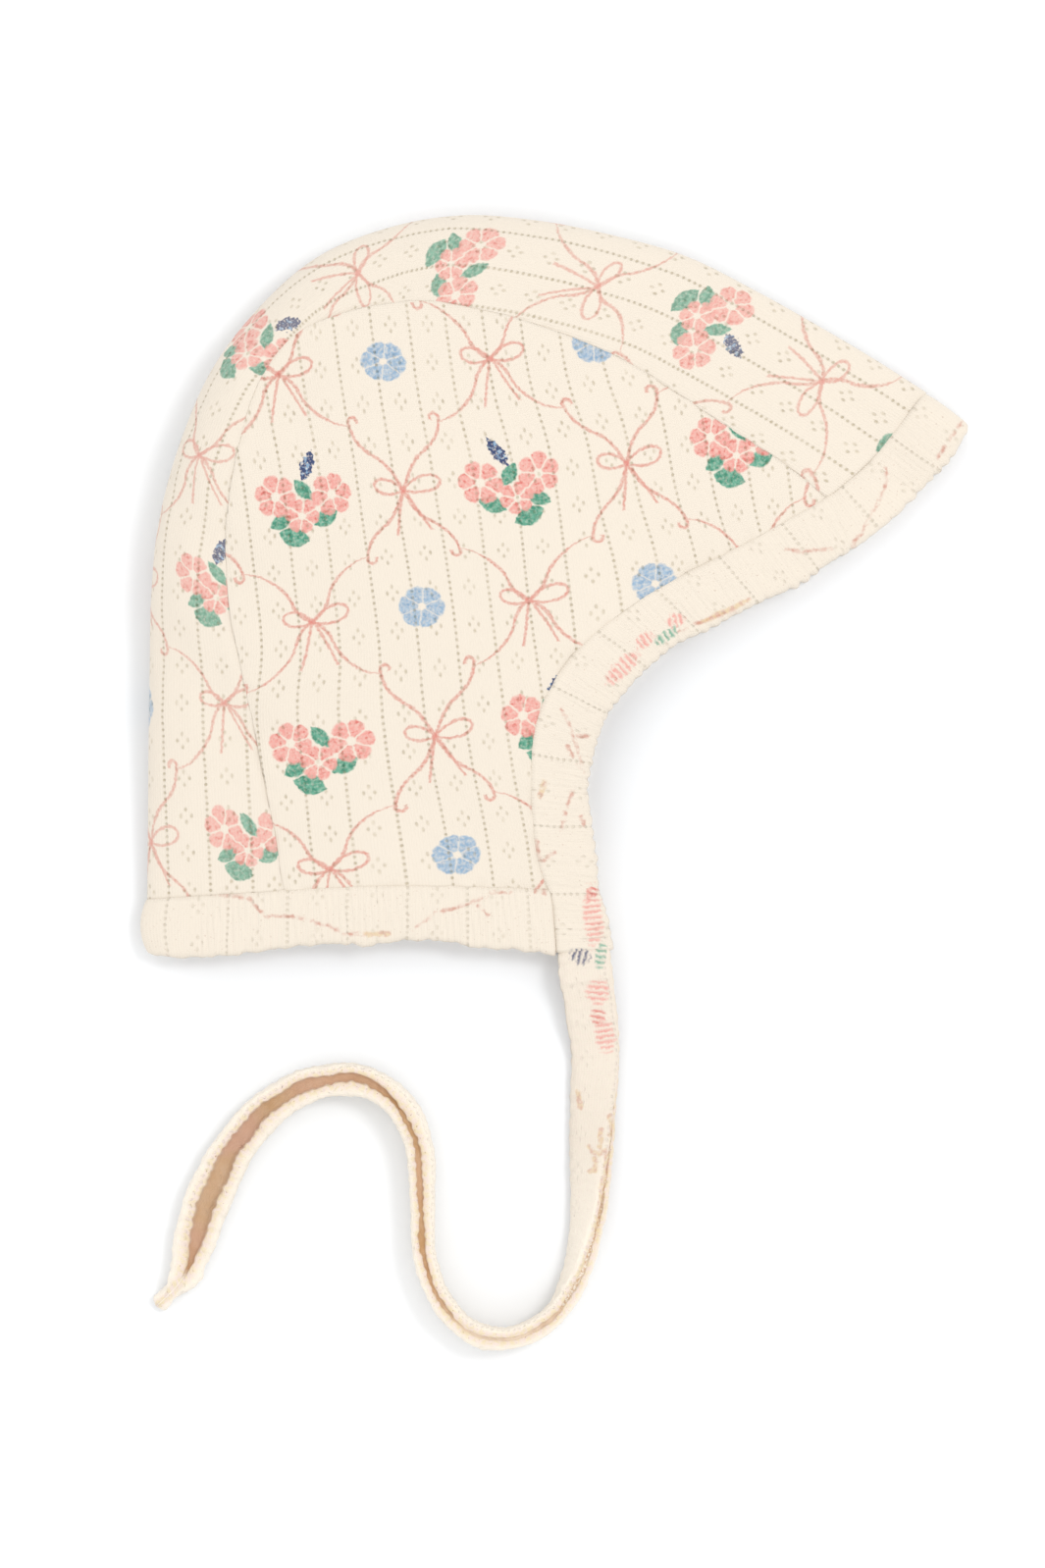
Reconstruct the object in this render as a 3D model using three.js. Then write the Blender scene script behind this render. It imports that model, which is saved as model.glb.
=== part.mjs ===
// Baby bonnet of fine knitted cotton with a built-in peak and ties, laid on its side.
// Millimetres, +Z up. The floor is Z 0, the peak points to +X and the crown to +Y.
import * as THREE from "three";

// Cloth sizes
const PANEL_THICK = 1.2;
const BAND_THICK = 2.6;
const BAND_EDGE_SHARE = 0.72;
const SEAM_GAP = 0.35;

// The upper layer's height over the floor: a low edge with one soft puff under the crown
const EDGE_HEIGHT = 6.5;
const PUFF_HEIGHT = 21;
const PUFF_X = -15;
const PUFF_Y = 22;
const PUFF_REACH_X = 48;
const PUFF_REACH_Y = 55;

// Plan radius of the soft fold along the outline, the hem's nape end and the peak's tip
const CROWN_FOLD = 14;
const CROWN_FOLD_SHARE = 0.8;
const NAPE_FOLD = 12;
const TIP_FOLD = 4.5;
const NAPE_BULGE = 1.2;

// The centre panel's brim end bows forward, over the last share of its length
const PEAK_BOW = 1.1;
const PEAK_BOW_SHARE = 0.1;

// Cells of the cloth grids. Neighbours share their cells along a seam, so their edges run side by side
const CELLS_ALONG_CROWN = 22;
const CELLS_ALONG_BACK = 16;
const CELLS_ALONG_NECK = 9;
const CELLS_BY_CORNER = 3;
const ARC_CELLS = 4;
const FLAT_CELLS = 3;
const CELLS_ACROSS_BAND = 3;

// Ties
const TIE_CELLS = 62;
const HIDDEN_TIE_CELLS = 60;
const HIDDEN_TIE_WIDTH = 11.7;
const HIDDEN_TIE_THICK = 3;
const HIDDEN_TIE_SIDE = 0.5;
const HIDDEN_TIE_ROUND = 0.6;
const TANGENT_STEP = 0.002;

// The folded tape's profile: its foot and side as shares of half its width and of its depth,
// the rounding of a wall's rim as a share of the wall, the rise of the trough's corners
const FOOT_REACH = 0.62;
const FOOT_RISE = 0.05;
const SIDE_RISE = 0.24;
const RIM_ROUND = 0.3;
const TROUGH_RISE = 0.12;

// Shares of the tables' length at which the side panel has its corners
const CROWN_CORNER = 8 / 18;
const PEAK_CORNER = 4 / 20;
const CHIN_CORNER = 17.88 / 20;
const NAPE_CORNER = 2 / 6;

// Centre panel, nape to peak: outline point (ox, oy) and seam point (sx, sy)
const CENTRE_ROWS = [
  { ox: -63.0, oy: -69.5, sx: -30.3, sy: -67.2 },
  { ox: -62.8, oy: -52.0, sx: -33.0, sy: -50.5 },
  { ox: -62.6, oy: -34.0, sx: -36.2, sy: -33.0 },
  { ox: -62.3, oy: -16.0, sx: -39.8, sy: -16.0 },
  { ox: -61.9, oy: 2.0, sx: -43.0, sy: 1.0 },
  { ox: -60.2, oy: 19.5, sx: -43.6, sy: 17.5 },
  { ox: -55.5, oy: 37.5, sx: -41.2, sy: 35.5 },
  { ox: -48.0, oy: 55.5, sx: -36.6, sy: 51.5 },
  { ox: -37.0, oy: 70.5, sx: -28.5, sy: 63.2 },
  { ox: -22.8, oy: 83.0, sx: -18.0, sy: 68.6 },
  { ox: -5.5, oy: 90.3, sx: -6.5, sy: 71.4 },
  { ox: 12.5, oy: 93.3, sx: 5.2, sy: 72.3 },
  { ox: 30.5, oy: 92.0, sx: 20.0, sy: 69.6 },
  { ox: 48.5, oy: 88.5, sx: 35.8, sy: 64.6 },
  { ox: 65.5, oy: 83.6, sx: 50.5, sy: 58.4 },
  { ox: 82.0, oy: 75.4, sx: 63.5, sy: 50.6 },
  { ox: 97.0, oy: 67.0, sx: 75.8, sy: 42.4 },
  { ox: 110.5, oy: 59.0, sx: 87.5, sy: 34.8 },
  { ox: 122.5, oy: 51.3, sx: 98.7, sy: 26.1 },
];

// Neck hem, nape fold to chin: top line (tx, ty) and bottom edge (bx, by)
const HEM_ROWS = [
  { tx: -63.6, ty: -69.6, bx: -63.2, by: -81.8 },
  { tx: -46.5, ty: -68.4, bx: -47.0, by: -82.4 },
  { tx: -30.3, ty: -67.2, bx: -30.5, by: -80.3 },
  { tx: -12.0, ty: -66.3, bx: -12.0, by: -79.2 },
  { tx: 6.0, ty: -66.1, bx: 6.0, by: -78.8 },
  { tx: 20.0, ty: -66.6, bx: 20.5, by: -80.6 },
  { tx: 32.6, ty: -67.2, bx: 33.8, by: -81.8 },
];

// Face binding, peak tip to chin: inner line (ix, iy) and outer edge (ox, oy)
const FACE_ROWS = [
  { ix: 122.5, iy: 51.3, ox: 132.5, oy: 43.9 },
  { ix: 115.5, iy: 42.5, ox: 126.5, oy: 34.6 },
  { ix: 108.8, iy: 34.4, ox: 120.0, oy: 27.6 },
  { ix: 104.0, iy: 30.2, ox: 113.6, oy: 21.4 },
  { ix: 98.7, iy: 26.1, ox: 106.0, oy: 15.4 },
  { ix: 86.3, iy: 19.1, ox: 95.0, oy: 8.4 },
  { ix: 75.8, iy: 13.3, ox: 84.8, oy: 2.6 },
  { ix: 65.8, iy: 8.2, ox: 75.1, oy: -2.2 },
  { ix: 56.0, iy: 3.0, ox: 66.0, oy: -6.6 },
  { ix: 47.4, iy: -3.0, ox: 58.2, oy: -11.6 },
  { ix: 40.4, iy: -9.3, ox: 52.0, oy: -17.4 },
  { ix: 34.8, iy: -16.2, ox: 47.4, oy: -23.2 },
  { ix: 31.0, iy: -23.6, ox: 44.4, oy: -28.6 },
  { ix: 29.0, iy: -31.5, ox: 42.6, oy: -34.4 },
  { ix: 28.5, iy: -39.0, ox: 41.8, oy: -40.4 },
  { ix: 28.7, iy: -46.7, ox: 42.0, oy: -47.3 },
  { ix: 29.3, iy: -54.6, ox: 42.6, oy: -54.8 },
  { ix: 30.6, iy: -61.6, ox: 43.6, oy: -61.8 },
  { ix: 33.0, iy: -68.0, ox: 44.7, oy: -68.0 },
  { ix: 33.9, iy: -74.6, ox: 45.8, oy: -74.4 },
  { ix: 34.6, iy: -81.4, ox: 47.2, oy: -80.8 },
];

// Soft folds pressed into the upper layer, each along a line
const FOLDS = [
  { x0: 101, y0: 52, x1: 118, y1: 32, depth: 1.1, reach: 5 },
  { x0: -58, y0: -8, x1: -38, y1: -30, depth: 1.3, reach: 6 },
  { x0: -57, y0: 30, x1: -41, y1: 8, depth: 1.3, reach: 6 },
  { x0: -40, y0: 68, x1: -27, y1: 52, depth: 1.1, reach: 6 },
  { x0: -22, y0: 78, x1: 30, y1: 74, depth: 1.0, reach: 5 },
];

// Visible tie from the chin to its tail, a folded tape that rolls up onto its fold:
// plan centre (x, y), lift of its lowest point, roll in degrees, outer width across the fold,
// wall thickness, depth from fold to open edge, thickness of the fold itself
const TIE_ROWS = [
  { x: 40.9, y: -82.5, lift: 7.0, roll: 0, width: 3.0, wall: 1.3, depth: 12.6, floor: 1.6 },
  { x: 42.0, y: -91.5, lift: 5.8, roll: 0, width: 3.1, wall: 1.3, depth: 12.6, floor: 1.6 },
  { x: 43.2, y: -102.5, lift: 1.6, roll: 0, width: 3.6, wall: 1.5, depth: 12.0, floor: 1.8 },
  { x: 43.3, y: -113.5, lift: 0.0, roll: 10, width: 4.2, wall: 1.8, depth: 11.4, floor: 2.0 },
  { x: 42.8, y: -125.5, lift: 0.0, roll: 34, width: 4.7, wall: 2.0, depth: 10.8, floor: 2.2 },
  { x: 42.0, y: -138.0, lift: 0.0, roll: 57, width: 4.9, wall: 2.1, depth: 10.8, floor: 2.3 },
  { x: 40.8, y: -151.5, lift: 0.0, roll: 75, width: 5.1, wall: 2.2, depth: 10.8, floor: 2.3 },
  { x: 36.6, y: -162.8, lift: 0.0, roll: 85, width: 5.3, wall: 2.3, depth: 10.8, floor: 2.3 },
  { x: 30.0, y: -170.7, lift: 0.0, roll: 90, width: 5.4, wall: 2.3, depth: 10.8, floor: 2.3 },
  { x: 20.6, y: -174.0, lift: 0.0, roll: 90, width: 5.4, wall: 2.3, depth: 10.8, floor: 2.3 },
  { x: 11.2, y: -170.4, lift: 0.0, roll: 90, width: 5.5, wall: 2.3, depth: 10.8, floor: 2.3 },
  { x: 4.6, y: -161.0, lift: 0.0, roll: 90, width: 5.4, wall: 2.3, depth: 10.8, floor: 2.3 },
  { x: 2.4, y: -148.0, lift: 0.0, roll: 90, width: 5.5, wall: 2.3, depth: 10.8, floor: 2.3 },
  { x: 2.6, y: -135.0, lift: 0.0, roll: 90, width: 6.2, wall: 2.4, depth: 10.8, floor: 2.3 },
  { x: 0.4, y: -123.0, lift: 0.0, roll: 90, width: 7.0, wall: 2.4, depth: 10.6, floor: 2.3 },
  { x: -6.2, y: -114.8, lift: 0.0, roll: 90, width: 7.3, wall: 2.4, depth: 10.2, floor: 2.3 },
  { x: -17.0, y: -111.8, lift: 0.0, roll: 90, width: 7.6, wall: 2.4, depth: 9.6, floor: 2.2 },
  { x: -28.5, y: -115.1, lift: 0.0, roll: 90, width: 8.4, wall: 2.4, depth: 9.0, floor: 2.0 },
  { x: -38.0, y: -122.4, lift: 0.0, roll: 90, width: 9.4, wall: 2.4, depth: 8.4, floor: 1.9 },
  { x: -45.5, y: -134.0, lift: 0.0, roll: 90, width: 10.4, wall: 2.4, depth: 7.8, floor: 1.8 },
  { x: -50.4, y: -145.6, lift: 0.0, roll: 90, width: 11.5, wall: 2.6, depth: 7.2, floor: 1.9 },
  { x: -53.2, y: -155.5, lift: 0.0, roll: 90, width: 8.0, wall: 2.9, depth: 6.6, floor: 3.4 },
  { x: -55.6, y: -160.4, lift: 0.0, roll: 90, width: 7.2, wall: 3.0, depth: 6.2, floor: 5.4 },
  { x: -58.2, y: -163.6, lift: 0.0, roll: 90, width: 4.9, wall: 2.0, depth: 4.4, floor: 3.8 },
  { x: -61.0, y: -166.2, lift: 0.0, roll: 90, width: 4.2, wall: 1.7, depth: 3.4, floor: 2.9 },
];

// Hidden tie, pressed flat: doubled back at the chin and laid inside over the lower panel
const HIDDEN_TIE_ROWS = [
  { x: 40.8, y: -81.9, z: 1.5 },
  { x: 40.8, y: -84.0, z: 1.5 },
  { x: 40.8, y: -85.4, z: 2.0 },
  { x: 40.8, y: -86.0, z: 3.3 },
  { x: 40.8, y: -85.4, z: 4.6 },
  { x: 40.8, y: -84.0, z: 5.1 },
  { x: 40.8, y: -80.5, z: 5.1 },
  { x: 39.6, y: -72.0, z: 5.0 },
  { x: 37.0, y: -63.0, z: 4.8 },
  { x: 32.0, y: -55.0, z: 4.6 },
  { x: 24.0, y: -47.0, z: 4.6 },
  { x: 12.0, y: -39.0, z: 3.4 },
  { x: -6.0, y: -31.0, z: 3.0 },
  { x: -22.0, y: -19.0, z: 3.0 },
  { x: -33.0, y: -2.0, z: 3.0 },
  { x: -35.5, y: 18.0, z: 3.0 },
  { x: -28.5, y: 37.0, z: 3.0 },
  { x: -12.0, y: 49.0, z: 3.0 },
  { x: 8.0, y: 52.5, z: 3.0 },
  { x: 28.0, y: 49.0, z: 3.0 },
  { x: 47.0, y: 41.5, z: 3.0 },
  { x: 62.0, y: 34.5, z: 3.0 },
];

// Colours of the cloth
const CREAM = 0xf9eedf;
const CREAM_UNDER = 0xf3e6d4;
const CREAM_BAND = 0xfbefdd;

// A smooth row of a table at share t of its length, every column at once
function at(rows, t) {
  const last = rows.length - 1;
  const place = Math.min(Math.max(t, 0), 1) * last;
  const i = Math.min(Math.floor(place), last - 1);
  const f = place - i;
  const row = (k) => rows[Math.min(Math.max(k, 0), last)];
  const out = {};
  for (const key of Object.keys(rows[0])) {
    const a = row(i - 1)[key];
    const b = row(i)[key];
    const c = row(i + 1)[key];
    const d = row(i + 2)[key];
    const bend = 2 * a - 5 * b + 4 * c - d + f * (3 * (b - c) + d - a);
    out[key] = b + 0.5 * f * (c - a + f * bend);
  }
  return out;
}

// A table's length along two of its columns: in all, up to a share, and the share at a length
function ruler(rows, x, y) {
  const steps = 2000;
  const marks = [0];
  let before = at(rows, 0);
  for (let k = 1; k <= steps; k += 1) {
    const now = at(rows, k / steps);
    marks.push(marks[k - 1] + Math.hypot(now[x] - before[x], now[y] - before[y]));
    before = now;
  }
  const share = (length) => {
    let k = 1;
    while (k < steps && marks[k] < length) k += 1;
    const part = (length - marks[k - 1]) / (marks[k] - marks[k - 1]);
    return (k - 1 + Math.min(part, 1)) / steps;
  };
  const length = (t) => marks[Math.round(t * steps)];
  return { total: marks[steps], length, share };
}

// Depth of the soft folds at a plan point
function foldDepth(x, y) {
  let depth = 0;
  for (const fold of FOLDS) {
    const dx = fold.x1 - fold.x0;
    const dy = fold.y1 - fold.y0;
    const along = ((x - fold.x0) * dx + (y - fold.y0) * dy) / (dx * dx + dy * dy);
    const near = Math.min(Math.max(along, 0), 1);
    const away = Math.hypot(x - fold.x0 - near * dx, y - fold.y0 - near * dy);
    depth += fold.depth * Math.exp(-((away / fold.reach) ** 2));
  }
  return depth;
}

// Height of the upper layer's middle surface at a plan point
function heightAt(x, y) {
  const dx = (x - PUFF_X) / PUFF_REACH_X;
  const dy = (y - PUFF_Y) / PUFF_REACH_Y;
  return EDGE_HEIGHT + PUFF_HEIGHT * Math.exp(-(dx * dx + dy * dy) / 2) - foldDepth(x, y);
}

// Height of one layer where the cloth turns over a fold: side 1 is the upper, -1 the floor layer
function layerAt(x, y, fromFold, radius, side, thick) {
  const low = thick / 2;
  const high = heightAt(x, y);
  const middle = (low + high) / 2;
  const inside = Math.min(fromFold / radius, 1);
  return middle + side * (high - middle) * Math.sqrt(1 - (1 - inside) ** 2);
}

// Even steps from one value to another
function evenly(from, to, cells) {
  return Array.from({ length: cells + 1 }, (_, k) => from + ((to - from) * k) / cells);
}

// Distances from a fold, in even turns round it up to its radius
function foldSteps(radius) {
  return evenly(0, Math.PI / 2, ARC_CELLS)
    .slice(0, -1)
    .map((turn) => radius * (1 - Math.cos(turn)));
}

// One closed mesh from points and triangles, turned so that it faces outwards
function solid(name, points, faces, colour, roughness) {
  let volume = 0;
  for (const [a, b, c] of faces) {
    volume += points[a].dot(new THREE.Vector3().crossVectors(points[b], points[c]));
  }
  const order = volume < 0 ? faces.map(([a, b, c]) => [a, c, b]) : faces;
  const geometry = new THREE.BufferGeometry().setFromPoints(points);
  geometry.setIndex(order.flat());
  geometry.computeVertexNormals();
  const material = new THREE.MeshStandardMaterial({ color: colour, roughness, metalness: 0 });
  const mesh = new THREE.Mesh(geometry, material);
  mesh.name = name;
  return mesh;
}

// A cloth sheet: a grid of middle points thickened along its normals and closed at its edges
function sheet(name, grid, thickAt, colour) {
  const rows = grid.length;
  const cols = grid[0].length;
  const points = [];
  for (const sign of [1, -1]) {
    for (let i = 0; i < rows; i += 1) {
      for (let j = 0; j < cols; j += 1) {
        const along = new THREE.Vector3().subVectors(
          grid[Math.min(i + 1, rows - 1)][j],
          grid[Math.max(i - 1, 0)][j],
        );
        const across = new THREE.Vector3().subVectors(
          grid[i][Math.min(j + 1, cols - 1)],
          grid[i][Math.max(j - 1, 0)],
        );
        const normal = along.cross(across).normalize();
        points.push(grid[i][j].clone().addScaledVector(normal, (sign * thickAt(j)) / 2));
      }
    }
  }
  const faces = [];
  const under = rows * cols;
  const id = (i, j) => i * cols + j;
  const quad = (a, b, c, d) => faces.push([a, b, c], [a, c, d]);
  for (let i = 0; i < rows - 1; i += 1) {
    for (let j = 0; j < cols - 1; j += 1) {
      quad(id(i, j), id(i + 1, j), id(i + 1, j + 1), id(i, j + 1));
      quad(under + id(i, j), under + id(i, j + 1), under + id(i + 1, j + 1), under + id(i + 1, j));
    }
  }
  const rim = [];
  for (let i = 0; i < rows - 1; i += 1) rim.push(id(i, 0));
  for (let j = 0; j < cols - 1; j += 1) rim.push(id(rows - 1, j));
  for (let i = rows - 1; i > 0; i -= 1) rim.push(id(i, cols - 1));
  for (let j = cols - 1; j > 0; j -= 1) rim.push(id(0, j));
  rim.forEach((a, k) => {
    const b = rim[(k + 1) % rim.length];
    quad(b, a, under + a, under + b);
  });
  return solid(name, points, faces, colour, 0.95);
}

// Unit plan step away from the neighbour across a seam, times the seam's gap
function seamStep(x, y, awayX, awayY) {
  const far = Math.hypot(x - awayX, y - awayY);
  return [(SEAM_GAP * (x - awayX)) / far, (SEAM_GAP * (y - awayY)) / far];
}

// The side panel's four seam lines by share, each with its point and its step off the seam
const SEAMS = {
  back: (s) => {
    const row = at(CENTRE_ROWS, CROWN_CORNER * s);
    return { point: [row.sx, row.sy], step: seamStep(row.sx, row.sy, row.ox, row.oy) };
  },
  top: (s) => {
    const row = at(CENTRE_ROWS, CROWN_CORNER + (1 - CROWN_CORNER) * s);
    return { point: [row.sx, row.sy], step: seamStep(row.sx, row.sy, row.ox, row.oy) };
  },
  front: (s) => {
    const row = at(FACE_ROWS, CHIN_CORNER + (PEAK_CORNER - CHIN_CORNER) * s);
    return { point: [row.ix, row.iy], step: seamStep(row.ix, row.iy, row.ox, row.oy) };
  },
  bottom: (s) => {
    const row = at(HEM_ROWS, NAPE_CORNER + (1 - NAPE_CORNER) * s);
    return { point: [row.tx, row.ty], step: seamStep(row.tx, row.ty, row.bx, row.by) };
  },
};

// Plan point of the side panel at shares u (back to front) and v (neck to crown)
function panelPoint(u, v) {
  const edge = (name, s, before, after) => {
    const { point, step } = SEAMS[name](s);
    const near = SEAMS[before[0]](before[1]).step;
    const far = SEAMS[after[0]](after[1]).step;
    return point.map((value, k) => value + step[k] + (1 - s) * near[k] + s * far[k]);
  };
  const back = (s) => edge("back", s, ["bottom", 0], ["top", 0]);
  const front = (s) => edge("front", s, ["bottom", 1], ["top", 1]);
  const bottom = (s) => edge("bottom", s, ["back", 0], ["front", 0]);
  const top = (s) => edge("top", s, ["back", 1], ["front", 1]);
  return [0, 1].map((k) => {
    const ruled = (1 - v) * bottom(u)[k] + v * top(u)[k] + (1 - u) * back(v)[k] + u * front(v)[k];
    const low = (1 - u) * back(0)[k] + u * front(0)[k];
    const high = (1 - u) * back(1)[k] + u * front(1)[k];
    return ruled - (1 - v) * low - v * high;
  });
}

// A side panel, the upper one on the puff and the lower one flat on the floor
function sidePanel(name, upper, colour) {
  const grid = [];
  for (let i = 0; i <= CELLS_ALONG_CROWN; i += 1) {
    const row = [];
    for (let j = 0; j <= CELLS_ALONG_BACK; j += 1) {
      const [x, y] = panelPoint(i / CELLS_ALONG_CROWN, j / CELLS_ALONG_BACK);
      row.push(new THREE.Vector3(x, y, upper ? heightAt(x, y) : PANEL_THICK / 2));
    }
    grid.push(row);
  }
  return sheet(name, grid, () => PANEL_THICK, colour);
}

// Centre panel: seam to seam over the outline, nape to peak
function centrePanel() {
  const { total } = ruler(CENTRE_ROWS, "ox", "oy");
  const inset = SEAM_GAP / total;
  const places = [
    ...evenly(inset, CROWN_CORNER, CELLS_ALONG_BACK),
    ...evenly(CROWN_CORNER, 1 - inset, CELLS_ALONG_CROWN).slice(1),
  ];
  const grid = [];
  for (const t of places) {
    const row = at(CENTRE_ROWS, t);
    const width = Math.hypot(row.sx - row.ox, row.sy - row.oy) - PANEL_THICK / 2;
    const radius = Math.min(CROWN_FOLD, CROWN_FOLD_SHARE * width);
    const half = [...foldSteps(radius), ...evenly(radius, width, FLAT_CELLS)];
    const bow = PEAK_BOW * Math.max(0, 1 - (1 - t) / PEAK_BOW_SHARE) ** 2;
    const place = (fromFold, side) => {
      const full = width + PANEL_THICK / 2;
      const share = (fromFold + PANEL_THICK / 2) / full;
      const forward = (bow * 4 * share * (1 - share)) / full;
      const x = row.ox + (row.sx - row.ox) * share - (row.sy - row.oy) * forward;
      const y = row.oy + (row.sy - row.oy) * share + (row.sx - row.ox) * forward;
      return new THREE.Vector3(x, y, layerAt(x, y, fromFold, radius, side, PANEL_THICK));
    };
    const under = half.slice(1).reverse().map((d) => place(d, -1));
    grid.push([...under, ...half.map((d) => place(d, 1))]);
  }
  return sheet("centre_panel", grid, () => PANEL_THICK, CREAM);
}

// A band folded over its outline end: upper layer, fold, floor layer
function band(name, rows, keys, radius, bulge, corners) {
  const [x0, y0, x1, y1] = keys;
  const { length, share } = ruler(rows, x0, y0);
  const start = BAND_THICK / 2;
  const flat = corners.flatMap(([from, to, cells]) => evenly(from, to, cells).slice(0, -1));
  const half = [
    ...foldSteps(radius),
    radius,
    ...[...flat, 1].map((t) => length(t) - start).filter((d) => d > radius + 1),
  ];
  const station = (fromFold, side) => {
    const row = at(rows, share(fromFold + start));
    const out = [];
    for (let j = 0; j <= CELLS_ACROSS_BAND; j += 1) {
      const s = j / CELLS_ACROSS_BAND;
      const swell = bulge * Math.sin(Math.PI * s) * Math.max(0, 1 - fromFold / radius);
      const x = row[x0] + (row[x1] - row[x0]) * s - swell;
      const y = row[y0] + (row[y1] - row[y0]) * s;
      out.push(new THREE.Vector3(x, y, layerAt(x, y, fromFold, radius, side, BAND_THICK)));
    }
    return out;
  };
  const grid = [
    ...half.slice(1).reverse().map((d) => station(d, -1)),
    ...half.map((d) => station(d, 1)),
  ];
  const rounded = (j) => (j === 0 || j === CELLS_ACROSS_BAND ? BAND_EDGE_SHARE : 1) * BAND_THICK;
  return sheet(name, grid, rounded, CREAM_BAND);
}

// A closed profile swept through a list of frames, with flat ends
function sweep(name, frames, profileAt, colour) {
  const points = [];
  const faces = [];
  const count = profileAt(0).length;
  frames.forEach((frame, i) => {
    for (const [a, b] of profileAt(i)) {
      const point = frame.centre.clone().addScaledVector(frame.across, a);
      points.push(point.addScaledVector(frame.up, b));
    }
  });
  for (let i = 0; i < frames.length - 1; i += 1) {
    for (let k = 0; k < count; k += 1) {
      const next = (k + 1) % count;
      const a = i * count + k;
      const b = i * count + next;
      faces.push([a, b, b + count], [a, b + count, a + count]);
    }
  }
  for (const i of [0, frames.length - 1]) {
    const flat = profileAt(i).map(([a, b]) => new THREE.Vector2(a, b));
    const wanted = Math.sign(THREE.ShapeUtils.area(flat)) * (i === 0 ? -1 : 1);
    for (const [a, b, c] of THREE.ShapeUtils.triangulateShape(flat, [])) {
      const turn = Math.sign(THREE.ShapeUtils.area([flat[a], flat[b], flat[c]]));
      const cap = turn === wanted ? [a, b, c] : [a, c, b];
      faces.push(cap.map((k) => i * count + k));
    }
  }
  return solid(name, points, faces, colour, 0.95);
}

// The folded tape's profile: fold at the bottom, open edge at the top, counter-clockwise
function tapeProfile({ width, wall, depth, floor }) {
  const w = width / 2;
  const gap = w - wall;
  const rim = RIM_ROUND * wall;
  const trough = floor + TROUGH_RISE * (depth - floor);
  const right = [
    [FOOT_REACH * w, FOOT_RISE * depth],
    [w, SIDE_RISE * depth],
    [w, depth - rim],
    [w - rim, depth],
    [gap + rim, depth],
    [gap, depth - rim],
    [gap, trough],
  ];
  const left = right.map(([a, b]) => [-a, b]).reverse();
  return [[0, 0], ...right, [0, floor], ...left];
}

// The visible tie, its profile turned by the roll and set down on its lift
function visibleTie() {
  const { total, share } = ruler(TIE_ROWS, "x", "y");
  const frames = [];
  const profiles = [];
  for (let i = 0; i <= TIE_CELLS; i += 1) {
    const t = share((total * i) / TIE_CELLS);
    const row = at(TIE_ROWS, t);
    const ahead = at(TIE_ROWS, Math.min(t + TANGENT_STEP, 1));
    const behind = at(TIE_ROWS, Math.max(t - TANGENT_STEP, 0));
    const heading = new THREE.Vector3(ahead.x - behind.x, ahead.y - behind.y, 0).normalize();
    const left = new THREE.Vector3(-heading.y, heading.x, 0);
    const roll = THREE.MathUtils.degToRad(Math.min(row.roll, 90));
    const turned = tapeProfile(row).map(([a, b]) => [
      b * Math.cos(roll) - a * Math.sin(roll),
      b * Math.sin(roll) + a * Math.cos(roll),
    ]);
    const sides = turned.map((p) => p[0]);
    const low = Math.min(...turned.map((p) => p[1]));
    const middle = (Math.min(...sides) + Math.max(...sides)) / 2;
    const lift = Math.max(row.lift, 0);
    profiles.push(turned.map(([a, b]) => [a - middle, b - low + lift]));
    frames.push({
      centre: new THREE.Vector3(row.x, row.y, 0),
      across: left,
      up: new THREE.Vector3(0, 0, 1),
    });
  }
  return sweep("tie_right", frames, (i) => profiles[i], CREAM_BAND);
}

// The hidden tie, one flat tape whose width keeps level through the turn at the chin
function hiddenTie() {
  const w = HIDDEN_TIE_WIDTH / 2;
  const h = HIDDEN_TIE_THICK / 2;
  const side = HIDDEN_TIE_SIDE * h;
  const flat = w - HIDDEN_TIE_ROUND * h;
  const profile = [
    [w, -side],
    [w, side],
    [flat, h],
    [-flat, h],
    [-w, side],
    [-w, -side],
    [-flat, -h],
    [flat, -h],
  ];
  const frames = [];
  const spot = (t) => {
    const row = at(HIDDEN_TIE_ROWS, t);
    return new THREE.Vector3(row.x, row.y, row.z);
  };
  let across = new THREE.Vector3(1, 0, 0);
  for (let i = 0; i <= HIDDEN_TIE_CELLS; i += 1) {
    const t = i / HIDDEN_TIE_CELLS;
    const ahead = spot(Math.min(t + TANGENT_STEP, 1));
    const heading = ahead.sub(spot(Math.max(t - TANGENT_STEP, 0))).normalize();
    across = across.clone().addScaledVector(heading, -across.dot(heading)).normalize();
    const up = new THREE.Vector3().crossVectors(heading, across);
    frames.push({ centre: spot(t), across, up });
  }
  return sweep("tie_left", frames, () => profile, CREAM_BAND);
}

const bonnet = new THREE.Group();
bonnet.name = "bonnet";
bonnet.add(
  sidePanel("side_panel_right", true, CREAM),
  sidePanel("side_panel_left", false, CREAM_UNDER),
  centrePanel(),
  band("neck_hem", HEM_ROWS, ["tx", "ty", "bx", "by"], NAPE_FOLD, NAPE_BULGE, [
    [0, NAPE_CORNER, 2 * CELLS_BY_CORNER],
    [NAPE_CORNER, 1, CELLS_ALONG_NECK],
  ]),
  band("face_binding", FACE_ROWS, ["ix", "iy", "ox", "oy"], TIP_FOLD, 0, [
    [0, PEAK_CORNER, 2 * CELLS_BY_CORNER],
    [PEAK_CORNER, CHIN_CORNER, CELLS_ALONG_BACK],
    [CHIN_CORNER, 1, CELLS_BY_CORNER],
  ]),
  visibleTie(),
  hiddenTie(),
);

export default bonnet;
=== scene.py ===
# Baby bonnet of pointelle jersey with peak and ties, laid on its side and seen from straight above.
# Tables and lengths are in millimetres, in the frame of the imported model; meshes are in metres.
import math

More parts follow.
